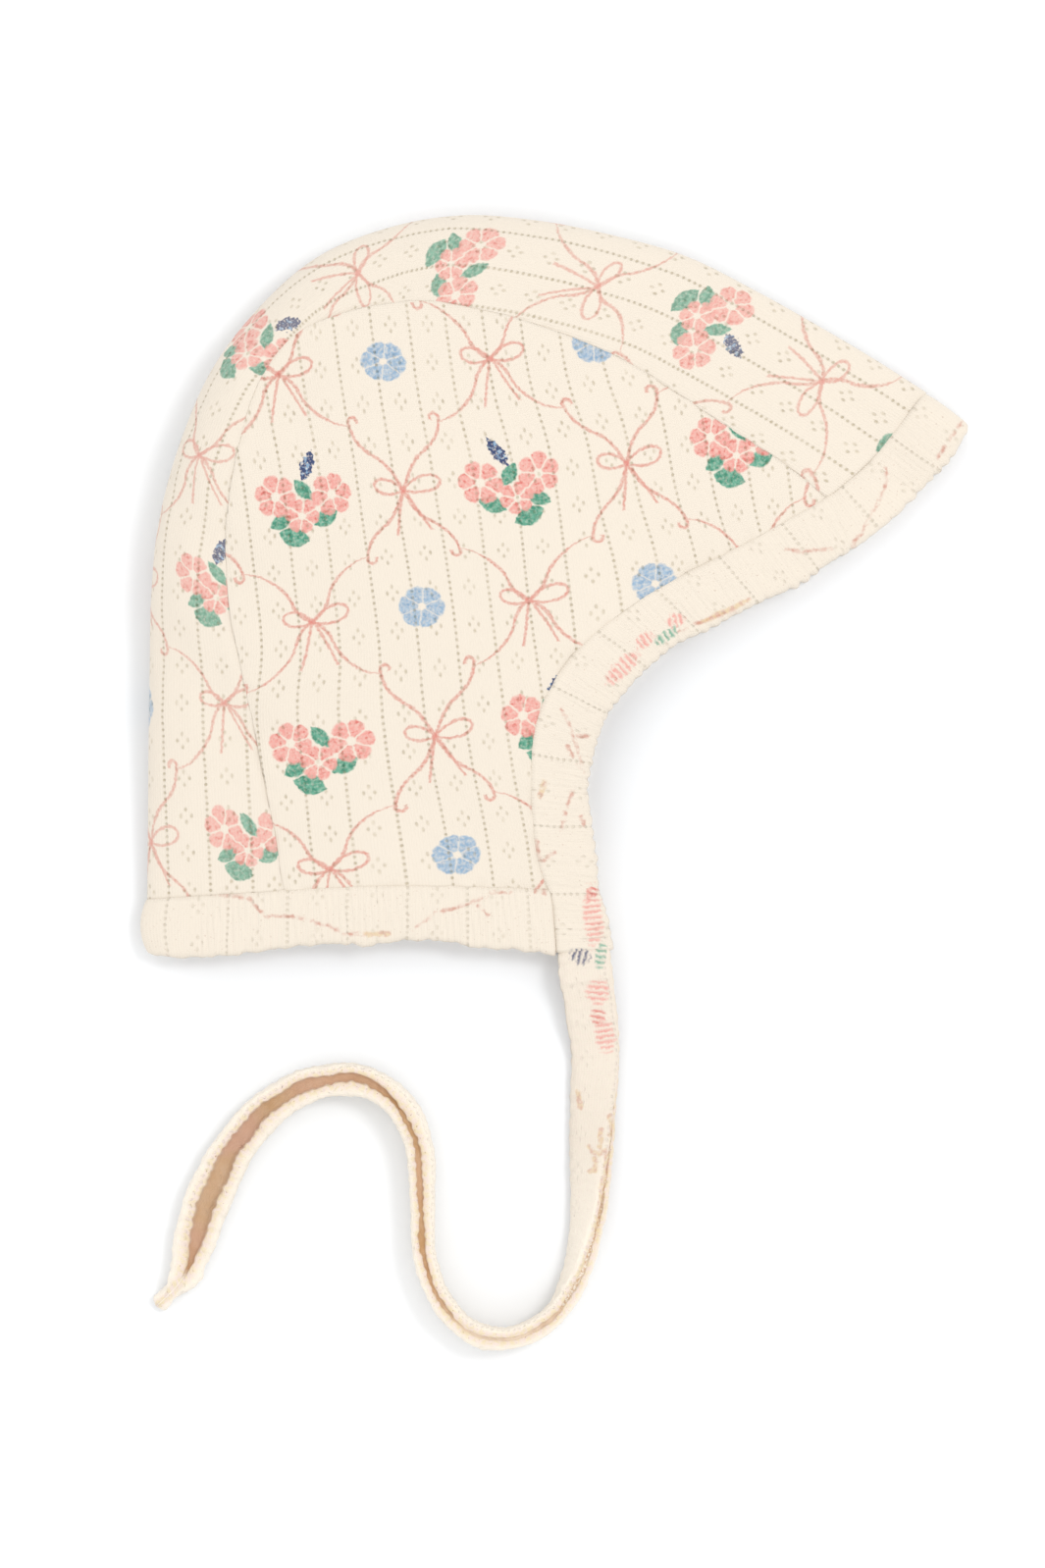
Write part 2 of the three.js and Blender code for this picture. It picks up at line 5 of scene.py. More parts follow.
import bpy
import numpy as np
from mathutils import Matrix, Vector


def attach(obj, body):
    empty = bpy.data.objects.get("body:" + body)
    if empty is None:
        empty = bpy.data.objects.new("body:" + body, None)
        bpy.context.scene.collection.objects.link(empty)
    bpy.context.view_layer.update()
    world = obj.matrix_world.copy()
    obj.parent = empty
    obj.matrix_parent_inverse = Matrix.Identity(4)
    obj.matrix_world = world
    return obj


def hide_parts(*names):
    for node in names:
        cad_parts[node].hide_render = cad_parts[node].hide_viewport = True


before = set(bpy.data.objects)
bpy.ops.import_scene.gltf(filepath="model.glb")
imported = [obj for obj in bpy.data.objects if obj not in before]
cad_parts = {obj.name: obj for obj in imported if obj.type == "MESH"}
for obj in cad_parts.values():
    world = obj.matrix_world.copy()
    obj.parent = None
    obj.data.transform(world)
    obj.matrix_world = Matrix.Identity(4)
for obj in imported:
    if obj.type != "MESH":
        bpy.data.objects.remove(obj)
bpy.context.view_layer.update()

scene = bpy.context.scene
MM = 0.001

# Cloth sizes
PANEL_THICK = 1.2
BAND_THICK = 2.6
SEAM_GAP = 0.06
SEAM_DIP = 0.35
BAND_SEAM_DIP = 0.12
SEAM_DIP_REACH = 1.4

# Cells of the meshes
PANEL_CELLS = 170
FLOOR_PANEL_CELLS = 60
CENTRE_STATIONS = 420
CENTRE_FOLD_CELLS = 20
CENTRE_FLAT_CELLS = 26
BAND_STATIONS = 420
BAND_FOLD_CELLS = 10
BAND_ACROSS = 16
TIE_STATIONS = 520
HIDDEN_TIE_STATIONS = 220

# Small waves in the cloth: seed, pitch, height
PANEL_WAVES = ((11, 34, 0.35), (12, 13, 0.12))
PANEL_EDGE_WAVES = ((13, 4, 0.16),)
PANEL_EDGE_REACH = 3
CENTRE_WAVES = ((21, 26, 0.3), (22, 9, 0.12))
CENTRE_CALM = 6
BAND_WAVES = ((33, 8, 0.12),)
BAND_EDGE_WAVES = ((31, 17, 0.4), (34, 2.4, 0.16))
SCALLOP_WAVES = ((32, 11, 0.4),)
RIB_WAVES = ((35, 2.1, 0.045),)
TIE_WAVES = ((41, 2.6, 0.14),)
TIE_EDGE_WAVES = ((42, 2.2, 0.24), (43, 9, 0.3), (44, 1.5, 0.13))

# Bands: scallops of the outer edge, thickness towards the edges
SCALLOP = 0.45
SCALLOP_MEAN = 0.4
HEM_SCALLOP = 6.2
BINDING_SCALLOP = 3.1
BAND_EDGE_SHARE = 0.2
BAND_EDGE_THICK = 0.62
BAND_EDGE_BULGE = 0.7
BAND_WAVE_STRETCH = 12
RIB_STRETCH = 4

# Heights from which a band is the upper layer and shows scraps of print, and a place with none
UPPER_FROM = 4
SCRAPS_FROM = 3.5
TIE_SCRAPS_FROM = 1.0
FAR_OFF = 500

# The upper layer's height over the floor
EDGE_HEIGHT = 6.5
PUFF_HEIGHT = 21
PUFF_X, PUFF_Y = -15, 22
PUFF_REACH_X, PUFF_REACH_Y = 48, 55

# Folds along the outline
CROWN_FOLD = 14
CROWN_FOLD_SHARE = 0.8
NAPE_FOLD = 12
TIP_FOLD = 4.5
NAPE_BULGE = 1.2
PEAK_BOW = 1.45
PEAK_BOW_SHARE = 0.1

# Shares of the tables' length at which the side panel has its corners
CROWN_CORNER = 8 / 18
PEAK_CORNER = 4 / 20
CHIN_CORNER = 17.88 / 20
NAPE_CORNER = 2 / 6

# Centre panel, nape to peak: outline point and seam point
CENTRE_ROWS = np.array([
    (-63, -69.5, -30.3, -67.2), (-62.8, -52, -33, -50.5), (-62.6, -34, -36.2, -33),
    (-62.3, -16, -39.8, -16), (-61.9, 2, -43, 1), (-60.2, 19.5, -43.6, 17.5),
    (-55.5, 37.5, -41.2, 35.5), (-48, 55.5, -36.6, 51.5), (-37, 70.5, -28.5, 63.2),
    (-22.8, 83, -18, 68.6), (-5.5, 90.3, -6.5, 71.4), (12.5, 93.3, 5.2, 72.3),
    (30.5, 92, 20, 69.6), (48.5, 88.5, 35.8, 64.6), (65.5, 83.6, 50.5, 58.4),
    (82, 75.4, 63.5, 50.6), (97, 67, 75.8, 42.4), (110.5, 59, 87.5, 34.8),
    (122.5, 51.3, 98.7, 26.1),
])

# Neck hem, nape fold to chin: top line and bottom edge
HEM_ROWS = np.array([
    (-63.6, -69.6, -63.2, -81.8), (-46.5, -68.4, -47, -82.4), (-30.3, -67.2, -30.5, -80.3),
    (-12, -66.3, -12, -79.2), (6, -66.1, 6, -78.8), (20, -66.6, 20.5, -80.6),
    (32.6, -67.2, 33.8, -81.8),
])

# Face binding, peak tip to chin: inner line and outer edge
FACE_ROWS = np.array([
    (122.5, 51.3, 132.5, 43.9), (115.5, 42.5, 126.5, 34.6), (108.8, 34.4, 120, 27.6),
    (104, 30.2, 113.6, 21.4), (98.7, 26.1, 106, 15.4), (86.3, 19.1, 95, 8.4),
    (75.8, 13.3, 84.8, 2.6), (65.8, 8.2, 75.1, -2.2), (56, 3, 66, -6.6),
    (47.4, -3, 58.2, -11.6), (40.4, -9.3, 52, -17.4), (34.8, -16.2, 47.4, -23.2),
    (31, -23.6, 44.4, -28.6), (29, -31.5, 42.6, -34.4), (28.5, -39, 41.8, -40.4),
    (28.7, -46.7, 42, -47.3), (29.3, -54.6, 42.6, -54.8), (30.6, -61.6, 43.6, -61.8),
    (33, -68, 44.7, -68), (33.9, -74.6, 45.8, -74.4), (34.6, -81.4, 47.2, -80.8),
])

# Soft folds pressed into the upper layer: start, end, depth, reach
FOLDS = (
    (101, 52, 118, 32, 1.1, 5), (-58, -8, -38, -30, 1.3, 6), (-57, 30, -41, 8, 1.3, 6),
    (-40, 68, -27, 52, 1.1, 6), (-22, 78, 30, 74, 1, 5),
)

# Visible tie: plan centre, lift, roll, width, the slit's two edges off the middle, depth, its floor's height
TIE_ROWS = np.array([
    (40.6, -78.5, 7, 0, 2.6, -0.1, 0.1, 12.2, 11.6),
    (41.2, -86.5, 6.2, 0, 3, -0.1, 0.1, 12.6, 12), (42.6, -96, 4, 0, 3.2, -0.1, 0.1, 12.4, 11.9),
    (43.6, -107, 0.8, 3, 3.9, -0.2, 0.2, 11.4, 10.8), (43, -119, 0, 14, 4.5, -0.3, 0.3, 10.9, 10.2),
    (42.6, -131.5, 0, 32, 4.8, -0.4, 0.3, 10.6, 9.9), (41.8, -145, 0, 52, 5, -0.4, 0.4, 9.9, 9.1),
    (39.1, -157.8, 0, 72, 5.2, -0.4, 0.4, 9.7, 8.9), (34, -167.6, 0, 88, 5, -0.4, 0.3, 10.6, 9.9),
    (25.4, -173, 0, 90, 5.3, -0.3, 0.3, 10.8, 10.2), (15.8, -172.8, 0, 90, 5.3, -0.3, 0.3, 10.8, 10.2),
    (8, -166.2, 0, 90, 5.4, -0.5, 0.3, 10.8, 10), (3.2, -155, 0, 90, 5.4, -0.7, 0.3, 10.8, 9.9),
    (2.5, -141.5, 0, 90, 5.8, -0.9, 0.2, 10.8, 9.8), (1.8, -128.5, 0, 90, 6.6, -1.3, 0.1, 10.7, 9.5),
    (-2.6, -118.4, 0, 90, 7.2, -1.1, 0, 10.4, 8.9), (-11.4, -112.6, 0, 90, 7.5, -0.5, 1.3, 9.9, 8),
    (-22.8, -112.9, 0, 90, 8, -0.9, 1.5, 9.3, 7), (-33.4, -118.5, 0, 90, 8.8, -1.2, 1.8, 8.7, 5.8),
    (-42, -128, 0, 90, 9.9, -1.8, 2.2, 8.1, 4.6), (-48.2, -139.8, 0, 90, 11.1, -2.3, 2, 7.5, 4),
    (-51.8, -150.6, 0, 90, 9.9, -1.8, 1.1, 6.9, 4.2), (-53.6, -156.4, 0, 90, 8, -0.9, 0.1, 6.6, 5),
    (-55.6, -160.4, 0, 90, 5.4, -0.3, -0.1, 6.2, 6), (-58.2, -163.6, 0, 90, 3.5, -0.1, 0.1, 4.4, 4.3),
    (-61, -166.2, 0, 90, 4.3, -0.1, 0.1, 3.6, 3.5),
])

# The tie's profile points that lie in its slit and on its rims, its end, knot and tail
TROUGH = np.array([0, 0, 0, 0, 0, 0, 0.25, 1, 1, 1, 0.25, 0, 0, 0, 0, 0])
TIE_RIM = np.array([0, 0, 0, 0, 0.15, 0.9, 1, 0, 0, 0, 1, 0.9, 0.15, 0, 0, 0])
TIE_TIP = 1.6
KNOB_BEFORE_END = 10.2
KNOB_REACH = 2.3
KNOB_PUSH = 1.1
TAIL_TWIST = 0.9
TAIL_REACH = 3
TAIL_SWELL = 0.28
SLIT_LEAST = 0.12
SLIT_SHOWS_FROM, SLIT_SHOWS_WITHIN = 0.3, 0.6
SLIT_WIDE = 4

# Hidden tie, doubled back at the chin and laid inside: its middle line
HIDDEN_TIE_ROWS = np.array([
    (40.8, -81.9, 1.5), (40.8, -84, 1.5), (40.8, -85.4, 2), (40.8, -86, 3.3),
    (40.8, -85.4, 4.6), (40.8, -84, 5.1), (40.8, -80.5, 5.1), (39.6, -72, 5),
    (37, -63, 4.8), (32, -55, 4.6), (24, -47, 4.6), (12, -39, 3.4),
    (-6, -31, 3), (-22, -19, 3), (-33, -2, 3), (-35.5, 18, 3),
    (-28.5, 37, 3), (-12, 49, 3), (8, 52.5, 3), (28, 49, 3),
    (47, 41.5, 3), (62, 34.5, 3),
])
HIDDEN_TIE_WIDTH = 11.7
HIDDEN_TIE_THICK = 3

# The print repeats every REPEAT_X across and REPEAT_Y along the cloth; a bow sits at the origin
REPEAT_X, REPEAT_Y = 52.6, 58.4
PRINT_ORIGIN = (-2.1, 27.8)
GRAIN_TILT = math.radians(7.6)

# Where the laid cloth carries its print and wales off the even repeat: place, then the shift there
PRINT_SHIFTS = (
    (-31, 55, 0.7, 1.6), (18, 58, -1.9, -2.1), (-2, 28, 0, -0.5), (28, 2, -0.2, -0.7),
    (51, 34, 0.7, -0.9), (-24, -3, 0.9, 1.2), (6, -30, 0, -0.5), (-18, -62, -2.3, 0.7),
    (-7, 58, -0.7, 1.2), (2, 1, 0.7, 1.6), (11, -58, 1.4, 0.7), (58, 6, 4, 0),
    (43, 63, -3.3, -0.9), (-28, 25, 2.2, 0), (-23, -34, -2.1, -0.2), (25, 29, 1, -2.9),
    (76, 39, 0, 0.9), (32, -27, 0.2, -0.5), (-37, 0, 2.1, 0.5), (-28, -63, -4.2, 0.7),
    (-35, -33, -2.8, 0),
)
PRINT_SHIFT_REACH = 16

# Centre panel: length along the fold, arc off the fold of the motif column, its place in the print
GUSSET_ROWS = np.array([
    (13.8, 25.4, -58.4), (46.5, 21.9, -29.2), (75.5, 20.8, 0), (106.6, 12.2, 29.2),
    (138.5, 10.8, 58.4), (175.3, 12.5, 87.6), (206.5, 16.2, 116.8), (240.3, 15.3, 146),
    (269.2, 12.6, 175.2), (300.9, 11.5, 204.4), (321, 17.4, 224.2),
])
GUSSET_SQUEEZE = ((100, 170, 275, 292), (1.12, 1.0, 1.0, 0.93))
SIDE_LINE_START = 1.8
GUSSET_LINE_START = 6.5
GUSSET_LINE_STRETCH = 1.09


def at(rows, t):
    """Smooth rows of a table at shares t of its length."""
    last = len(rows) - 1
    place = np.clip(np.asarray(t, float), 0, 1) * last
    i = np.minimum(np.floor(place).astype(int), last - 1)
    f = (place - i)[..., None]
    a, b, c, d = (rows[np.clip(i + k, 0, last)] for k in (-1, 0, 1, 2))
    bend = 2 * a - 5 * b + 4 * c - d + f * (3 * (b - c) + d - a)
    return b + 0.5 * f * (c - a + f * bend)


def ruler(rows, x=0, y=1, steps=4000):
    """Total length along two columns, and the share at a length."""
    t = np.linspace(0, 1, steps + 1)
    line = at(rows, t)[:, [x, y]]
    marks = np.concatenate([[0], np.cumsum(np.linalg.norm(np.diff(line, axis=0), axis=1))])
    return marks[-1], lambda length: np.interp(length, marks, t)


def height_at(x, y):
    """Height of the upper layer's middle surface."""
    dx, dy = (x - PUFF_X) / PUFF_REACH_X, (y - PUFF_Y) / PUFF_REACH_Y
    z = EDGE_HEIGHT + PUFF_HEIGHT * np.exp(-(dx * dx + dy * dy) / 2)
    for x0, y0, x1, y1, depth, reach in FOLDS:
        along = ((x - x0) * (x1 - x0) + (y - y0) * (y1 - y0)) / ((x1 - x0) ** 2 + (y1 - y0) ** 2)
        near = np.clip(along, 0, 1)
        away = np.hypot(x - x0 - near * (x1 - x0), y - y0 - near * (y1 - y0))
        z = z - depth * np.exp(-((away / reach) ** 2))
    return z


def layer_at(x, y, from_fold, radius, side, thick):
    """Height of the upper (1) or floor (-1) layer where the cloth turns over a fold."""
    low, high = thick / 2, height_at(x, y)
    inside = np.minimum(from_fold / radius, 1)
    return (low + high) / 2 + side * (high - low) / 2 * np.sqrt(1 - (1 - inside) ** 2)


def waves(x, y, seed, pitch, count=5):
    """Smooth noise from a few seeded plane waves, from about -1 to 1."""
    rng = np.random.default_rng(seed)
    out = np.zeros(np.broadcast(x, y).shape)
    for _ in range(count):
        turn, phase = rng.uniform(0, 2 * math.pi, 2)
        wide = pitch * rng.uniform(0.7, 1.4)
        out += np.sin((x * math.cos(turn) + y * math.sin(turn)) * 2 * math.pi / wide + phase)
    return out / math.sqrt(count * 2)


def ripple(x, y, rows):
    """Sum of the waves in a table of seed, pitch and height."""
    return sum(waves(x, y, seed, pitch) * height for seed, pitch, height in rows)


def edge_distance(grid):
    """Distance of each grid point from the four edges, along the grid's lines."""

    def run(a, axis):
        step = np.linalg.norm(np.diff(a, axis=axis), axis=2)
        zero = np.zeros_like(np.take(step, [0], axis=axis))
        return np.concatenate([zero, np.cumsum(step, axis=axis)], axis=axis)

    rows, cols = run(grid, 0), run(grid, 1)
    return rows, rows[-1:] - rows, cols, cols[:, -1:] - cols


def normals_of(grid):
    along, across = np.gradient(grid, axis=0), np.gradient(grid, axis=1)
    n = np.cross(along, across)
    return n / np.maximum(np.linalg.norm(n, axis=2, keepdims=True), 1e-9)


def add_mesh(name, points, faces, attributes, materials, picks=None):
    """A mesh object from millimetre points, with vector attributes and a material per face."""
    mesh = bpy.data.meshes.new(name)
    mesh.from_pydata((points * MM).tolist(), [], faces)
    for key, values in attributes.items():
        layer = mesh.attributes.new(key, "FLOAT_VECTOR", "POINT")
        layer.data.foreach_set("vector", np.asarray(values, np.float32).ravel())
    for material in materials:
        mesh.materials.append(material)
    if picks is not None:
        mesh.polygons.foreach_set("material_index", np.asarray(picks, np.int32))
    mesh.shade_smooth()
    mesh.update()
    obj = bpy.data.objects.new(name, mesh)
    scene.collection.objects.link(obj)
    return obj


def signed_volume(points, quads):
    a, b, c, d = (points[quads[:, k]] for k in range(4))
    return float((a * np.cross(b, c)).sum() + (a * np.cross(c, d)).sum())


def add_sheet(name, grid, thick, attributes, materials, turned=False, bulge_share=0.3):
    """A closed cloth sheet: outer layer, inner layer and rounded rims."""
    rows, cols = grid.shape[:2]
    n = normals_of(grid)
    half = np.broadcast_to(np.asarray(thick, float), (rows, cols))[..., None] / 2
    outer, inner = grid + n * half, grid - n * half
    ring = np.concatenate([
        np.stack([np.zeros(cols - 1), np.arange(cols - 1)], 1),
        np.stack([np.arange(rows - 1), np.full(rows - 1, cols - 1)], 1),
        np.stack([np.full(cols - 1, rows - 1), np.arange(cols - 1, 0, -1)], 1),
        np.stack([np.arange(rows - 1, 0, -1), np.zeros(rows - 1)], 1),
    ]).astype(int)
    ids = np.arange(rows * cols).reshape(rows, cols)
    cell = np.stack([ids[:-1, :-1], ids[1:, :-1], ids[1:, 1:], ids[:-1, 1:]], 2).reshape(-1, 4)
    under = rows * cols
    r, c = ring.T
    edge = ids[r, c]
    middle = 2 * under + np.arange(len(edge))
    away = grid[r, c] - grid[np.clip(r, 1, rows - 2), np.clip(c, 1, cols - 2)]
    away /= np.maximum(np.linalg.norm(away, axis=1, keepdims=True), 1e-9)
    bulge = grid[r, c] + away * half[r, c] * bulge_share
    points = np.concatenate([outer.reshape(-1, 3), inner.reshape(-1, 3), bulge])
    a, b = edge, np.roll(edge, -1)
    c, d = middle, np.roll(middle, -1)
    upper_rim = np.stack([a, b, d, c], 1)
    lower_rim = np.stack([c, d, b + under, a + under], 1)
    quads = np.concatenate([cell, (cell + under)[:, ::-1], upper_rim, lower_rim])
    picks = np.concatenate([
        np.full(len(cell), 1 if turned else 0), np.full(len(cell), 0 if turned else 1),
        np.zeros(2 * len(edge)),
    ])
    if signed_volume(points, quads) < 0:
        quads = quads[:, ::-1]
    spread = {
        key: np.concatenate([v.reshape(-1, 3), v.reshape(-1, 3), v.reshape(-1, 3)[edge]])
        for key, v in attributes.items()
    }
    return add_mesh(name, points, quads.tolist(), spread, materials, picks)


class Value:
    """One number in a node tree. Arithmetic on it adds Math nodes."""

    def __init__(self, tree, socket):
        self.tree, self.socket = tree, socket

    def math(self, operation, *others):
        node = self.tree.nodes.new("ShaderNodeMath")
        node.operation = operation
        for slot, value in zip(node.inputs, (self, *others)):
            if isinstance(value, Value):
                self.tree.links.new(value.socket, slot)
            else:
                slot.default_value = value
        return Value(self.tree, node.outputs[0])

    def __add__(self, other):
        return self.math("ADD", other)

    def __sub__(self, other):
        return self.math("SUBTRACT", other)

    def __mul__(self, other):
        return self.math("MULTIPLY", other)

    def __truediv__(self, other):
        return self.math("DIVIDE", other)

    def wrap(self, period):
        return self.math("WRAP", period / 2, -period / 2)

    def abs(self):
        return self.math("ABSOLUTE")

    def clamp(self):
        node = self.tree.nodes.new("ShaderNodeClamp")
        self.tree.links.new(self.socket, node.inputs[0])
        return Value(self.tree, node.outputs[0])

    def below(self, limit, soft=0.22):
        """1 where the value is below the limit, with a soft step."""
        return ((self * -1 + limit) * (1 / soft) + 0.5).clamp()


def length(x, y):
    return (x * x + y * y).math("SQRT")


def smaller(a, b):
    return a.math("MINIMUM", b)


def larger(a, b):
    return a.math("MAXIMUM", b)


def between(a, b, share):
    """From a at share 0 to b at share 1."""
    return share * (b - a) + a


def linear(red, green, blue, light=1.0):
    """An sRGB colour as the shader's linear one, under that much light."""

    def one(c):
        c /= 255
        return (c / 12.92 if c <= 0.04045 else ((c + 0.055) / 1.055) ** 2.4) / light

    return (one(red), one(green), one(blue), 1)


def lit(red, green, blue):
    """The colour that shows as this one in the studio's light."""
    return linear(red, green, blue, STUDIO_LIGHT)


class Graph:
    """A node tree with the few calls that the cloth's materials need."""

    def __init__(self, tree):
        self.tree = tree

    def new(self, kind, **settings):
        node = self.tree.nodes.new(kind)
        for key, value in settings.items():
            setattr(node, key, value)
        return node

    def link(self, out, into):
        self.tree.links.new(out.socket if isinstance(out, Value) else out, into)

    def parts(self, vector):
        node = self.new("ShaderNodeSeparateXYZ")
        self.link(vector, node.inputs[0])
        return [Value(self.tree, s) for s in node.outputs]

    def attribute(self, name):
        return self.new("ShaderNodeAttribute", attribute_name=name).outputs["Vector"]

    def noise(self, vector, scale, detail=0.0):
        node = self.new("ShaderNodeTexNoise")
        node.inputs["Scale"].default_value = scale
        node.inputs["Detail"].default_value = detail
        self.link(vector, node.inputs["Vector"])
        return node

    def noise_value(self, vector, scale, detail=0.0):
        return Value(self.tree, self.noise(vector, scale, detail).outputs["Fac"])

    def mix(self, share, a, b):
        node = self.new("ShaderNodeMix", data_type="RGBA")
        for slot, value in ((0, share), (6, a), (7, b)):
            if isinstance(value, (tuple, int, float)):
                node.inputs[slot].default_value = value
            else:
                self.link(value, node.inputs[slot])
        return node.outputs[2]

    def curve(self, value, rows, span):
        """A smooth curve through a few points, all within 0 to span."""
        node = self.new("ShaderNodeFloatCurve")
        points = node.mapping.curves[0].points
        points[0].location = [c / span for c in rows[0]]
        points[1].location = [c / span for c in rows[-1]]
        for row in rows[1:-1]:
            points.new(row[0] / span, row[1] / span)
        node.mapping.update()
        self.link(value * (1 / span), node.inputs["Value"])
        return Value(self.tree, node.outputs[0]) * span


def group(name, inputs, outputs):
    tree = bpy.data.node_groups.new(name, "ShaderNodeTree")
    for side, rows in (("INPUT", inputs), ("OUTPUT", outputs)):
        for key, kind in rows:
            tree.interface.new_socket(key, in_out=side, socket_type=f"NodeSocket{kind}")
    graph = Graph(tree)
    return graph, graph.new("NodeGroupInput").outputs, graph.new("NodeGroupOutput").inputs


# Light on the floor, and the colours as they show
STUDIO_LIGHT = 1.44
CREAM = lit(249, 238, 222)
CREAM_DEEP = lit(240, 222, 202)
# Painted shade in the tie's fold: the slit's inside is painted brown, deeper where the slit is narrow and
# pinker in places
FOLD_PAINTED_SHADE = lit(232, 198, 164)
FOLD_PAINTED_SHADE_DEEP = lit(214, 166, 112)
FOLD_PAINTED_SHADE_PINK = lit(234, 188, 166)
# Painted light: a lighter cream for the tie's turned flank, which faces away from the key lamp
TIE_FLANK_PAINTED_LIGHT = linear(252, 243, 228, 1.27)
FRAY = lit(232, 196, 140)
FRAY_DEEP = lit(214, 150, 120)
RIM_GOLD = lit(250, 230, 186)
RIM_PINK = lit(254, 232, 224)
RIM_SPECK = lit(176, 134, 112)
RIBBON = lit(230, 165, 150)
RIBBON_DEEP = lit(202, 138, 118)
PETAL = lit(246, 170, 160)
PETAL_DEEP = lit(230, 128, 118)
LEAF = lit(116, 180, 154)
LEAF_DEEP = lit(74, 148, 122)
BLUE = lit(174, 198, 219)
BLUE_DEEP = lit(148, 178, 206)
INK = lit(66, 80, 120)
# Painted shade seen through the pointelle holes, multiplied into the cloth's colour
HOLE_PAINTED_SHADE = linear(192, 184, 156)

# Ribbons in a quarter of the repeat: from its first bow, across by up, then its middle bow, up by across
RIBBON_A = ((0, 0), (2.2, 1.0), (5, 2.5), (7.3, 4.5), (9.3, 7.1), (11.5, 9.3), (14, 10.6), (16.4, 11.1))
RIBBON_B = ((0, 0), (2.1, 1.5), (3.8, 3.8), (5.4, 7.2), (7.6, 9.8), (9.8, 11.6), (11.8, 12.8),
            (13.8, 13.5), (15.6, 14))
RIBBON_SPAN = 30
RIBBON_HALF = 0.38
RIBBON_THIN_FROM = 7.0
RIBBON_THINNING = 0.036
RIBBON_A_STOP, RIBBON_B_STOP = 16.3, 15.5
HOOK_X, HOOK_Y, HOOK_RADIUS = 10.0, 16.1, 1.1

# Bow: loops as direction, reach and narrowness, then tails as lean, offset and half height
BOW_LOOPS = ((163, 7.0, 2.3), (12, 8.9, 2.55))
BOW_TAILS = ((-0.27, 0, 4.8), (0.48, -0.4, 4.4))
BOW_TAIL_MIDDLE = 5.7
KNOT_RADIUS = 0.55

# How far the print wanders: the noise's scale and its reach
PRINT_DRIFT = (0.09, 0.8)
PRINT_SHAKE = (1.3, 0.5)

# Bouquet, mirrored in some columns: flower places and radii; leaf places, half lengths and widths, turns
FLOWERS = ((-5.4, 2.2, 5.0, 0.3), (8.2, 0.9, 5.1, 0.9), (0.4, -3.2, 4.1, 1.3))
LEAVES = ((1.5, 2.8, 3.3, 1.6, -56), (-4.9, -3.9, 3.0, 1.8, 25), (6.1, -4.5, 3.3, 2.0, 25),
          (-2.1, -8.0, 4.0, 2.4, -22))
SPRIG = (3.2, 8.2, 3.5, 1.4, 62)
SPRIG_ROWS = 3
BLUE_SQUEEZE = 1.16
PETALS = 6
PETAL_POWER = 2.8

# Petals: place of the middle, half length and half width in flower radii, then the slit's half width
PINK_PETAL = (0.61, 0.39, 0.37, 0.19)
BLUE_PETAL = (0.6, 0.42, 0.46, 0.08)
BLUE_FLOWER = (5.4, 0.2)

# Cloth surface, and the shares of print, painted shade in the holes, painted shade in the wales, and
# stitches that it shows
ROUGHNESS = 0.92
SHEEN = 0.12
SHEEN_ROUGHNESS = 0.6
SPECULAR = 0.2
CENTRE_PRINTED = 0.84
INSIDE_PRINTED = 0.12
PANEL_HOLES = 0.72
BAND_HOLES = 0.3
WALE_SHADE = 0.1
STITCH_BUMP = 0.8

# Lengths along the visible tie: where it starts to roll and has rolled, over which its turned flank is
# painted lighter as painted light, and where its slit shows whole
TIE_ROLLS_FROM = 48
TIE_ROLLS_WITHIN = 26
TIE_LAID_FROM = 88

# Openwork and stitches of the jersey
HOLE_PITCH = 1.5
HOLE_RADIUS = 0.3
HOLE_SOFT = 0.3
DIAMOND_START = 1.8
DIAMOND_PITCH = 9.0
DIAMOND_HALF_WIDE, DIAMOND_HALF_LONG = 1.15, 1.5
DIAMOND_HOLE_STRETCH = 0.6
WALE_PITCH = 0.65
COURSE_PITCH = 0.5
LINE_SPACING = 9.27
HEM_LINE_SPACING = 14.14
HEM_FIRST_LINE = 4.74
BINDING_LINE_SPACING = 16.9
BINDING_FIRST_LINE = 12.3

# Scraps of print where the bands and the tie are cut: plan place, half length, half width, turn, colour
SCRAPS = (
    (49.6, -14.2, 5.4, 2.1, 44, 0), (54.9, -7.6, 2.6, 1.7, 35, 0), (62.4, -3, 2.4, 1.7, 15, 0),
    (60.2, -6.6, 3.4, 1.4, 35, 1), (42.9, -73.2, 7.4, 2.3, 95, 0), (42.5, -67.6, 1.7, 1.2, 60, 3),
    (40, -82.6, 2.7, 2.1, -15, 2), (44.8, -82.6, 3.4, 1.4, 80, 1), (44.2, -91.2, 3.3, 2.9, 85, 0),
    (44.2, -97, 2.2, 2, 80, 3), (45.9, -101.6, 4.2, 2.4, 98, 0), (33, -17.4, 2.6, 0.8, 62, 2),
)
DASH_PITCH = 1.35

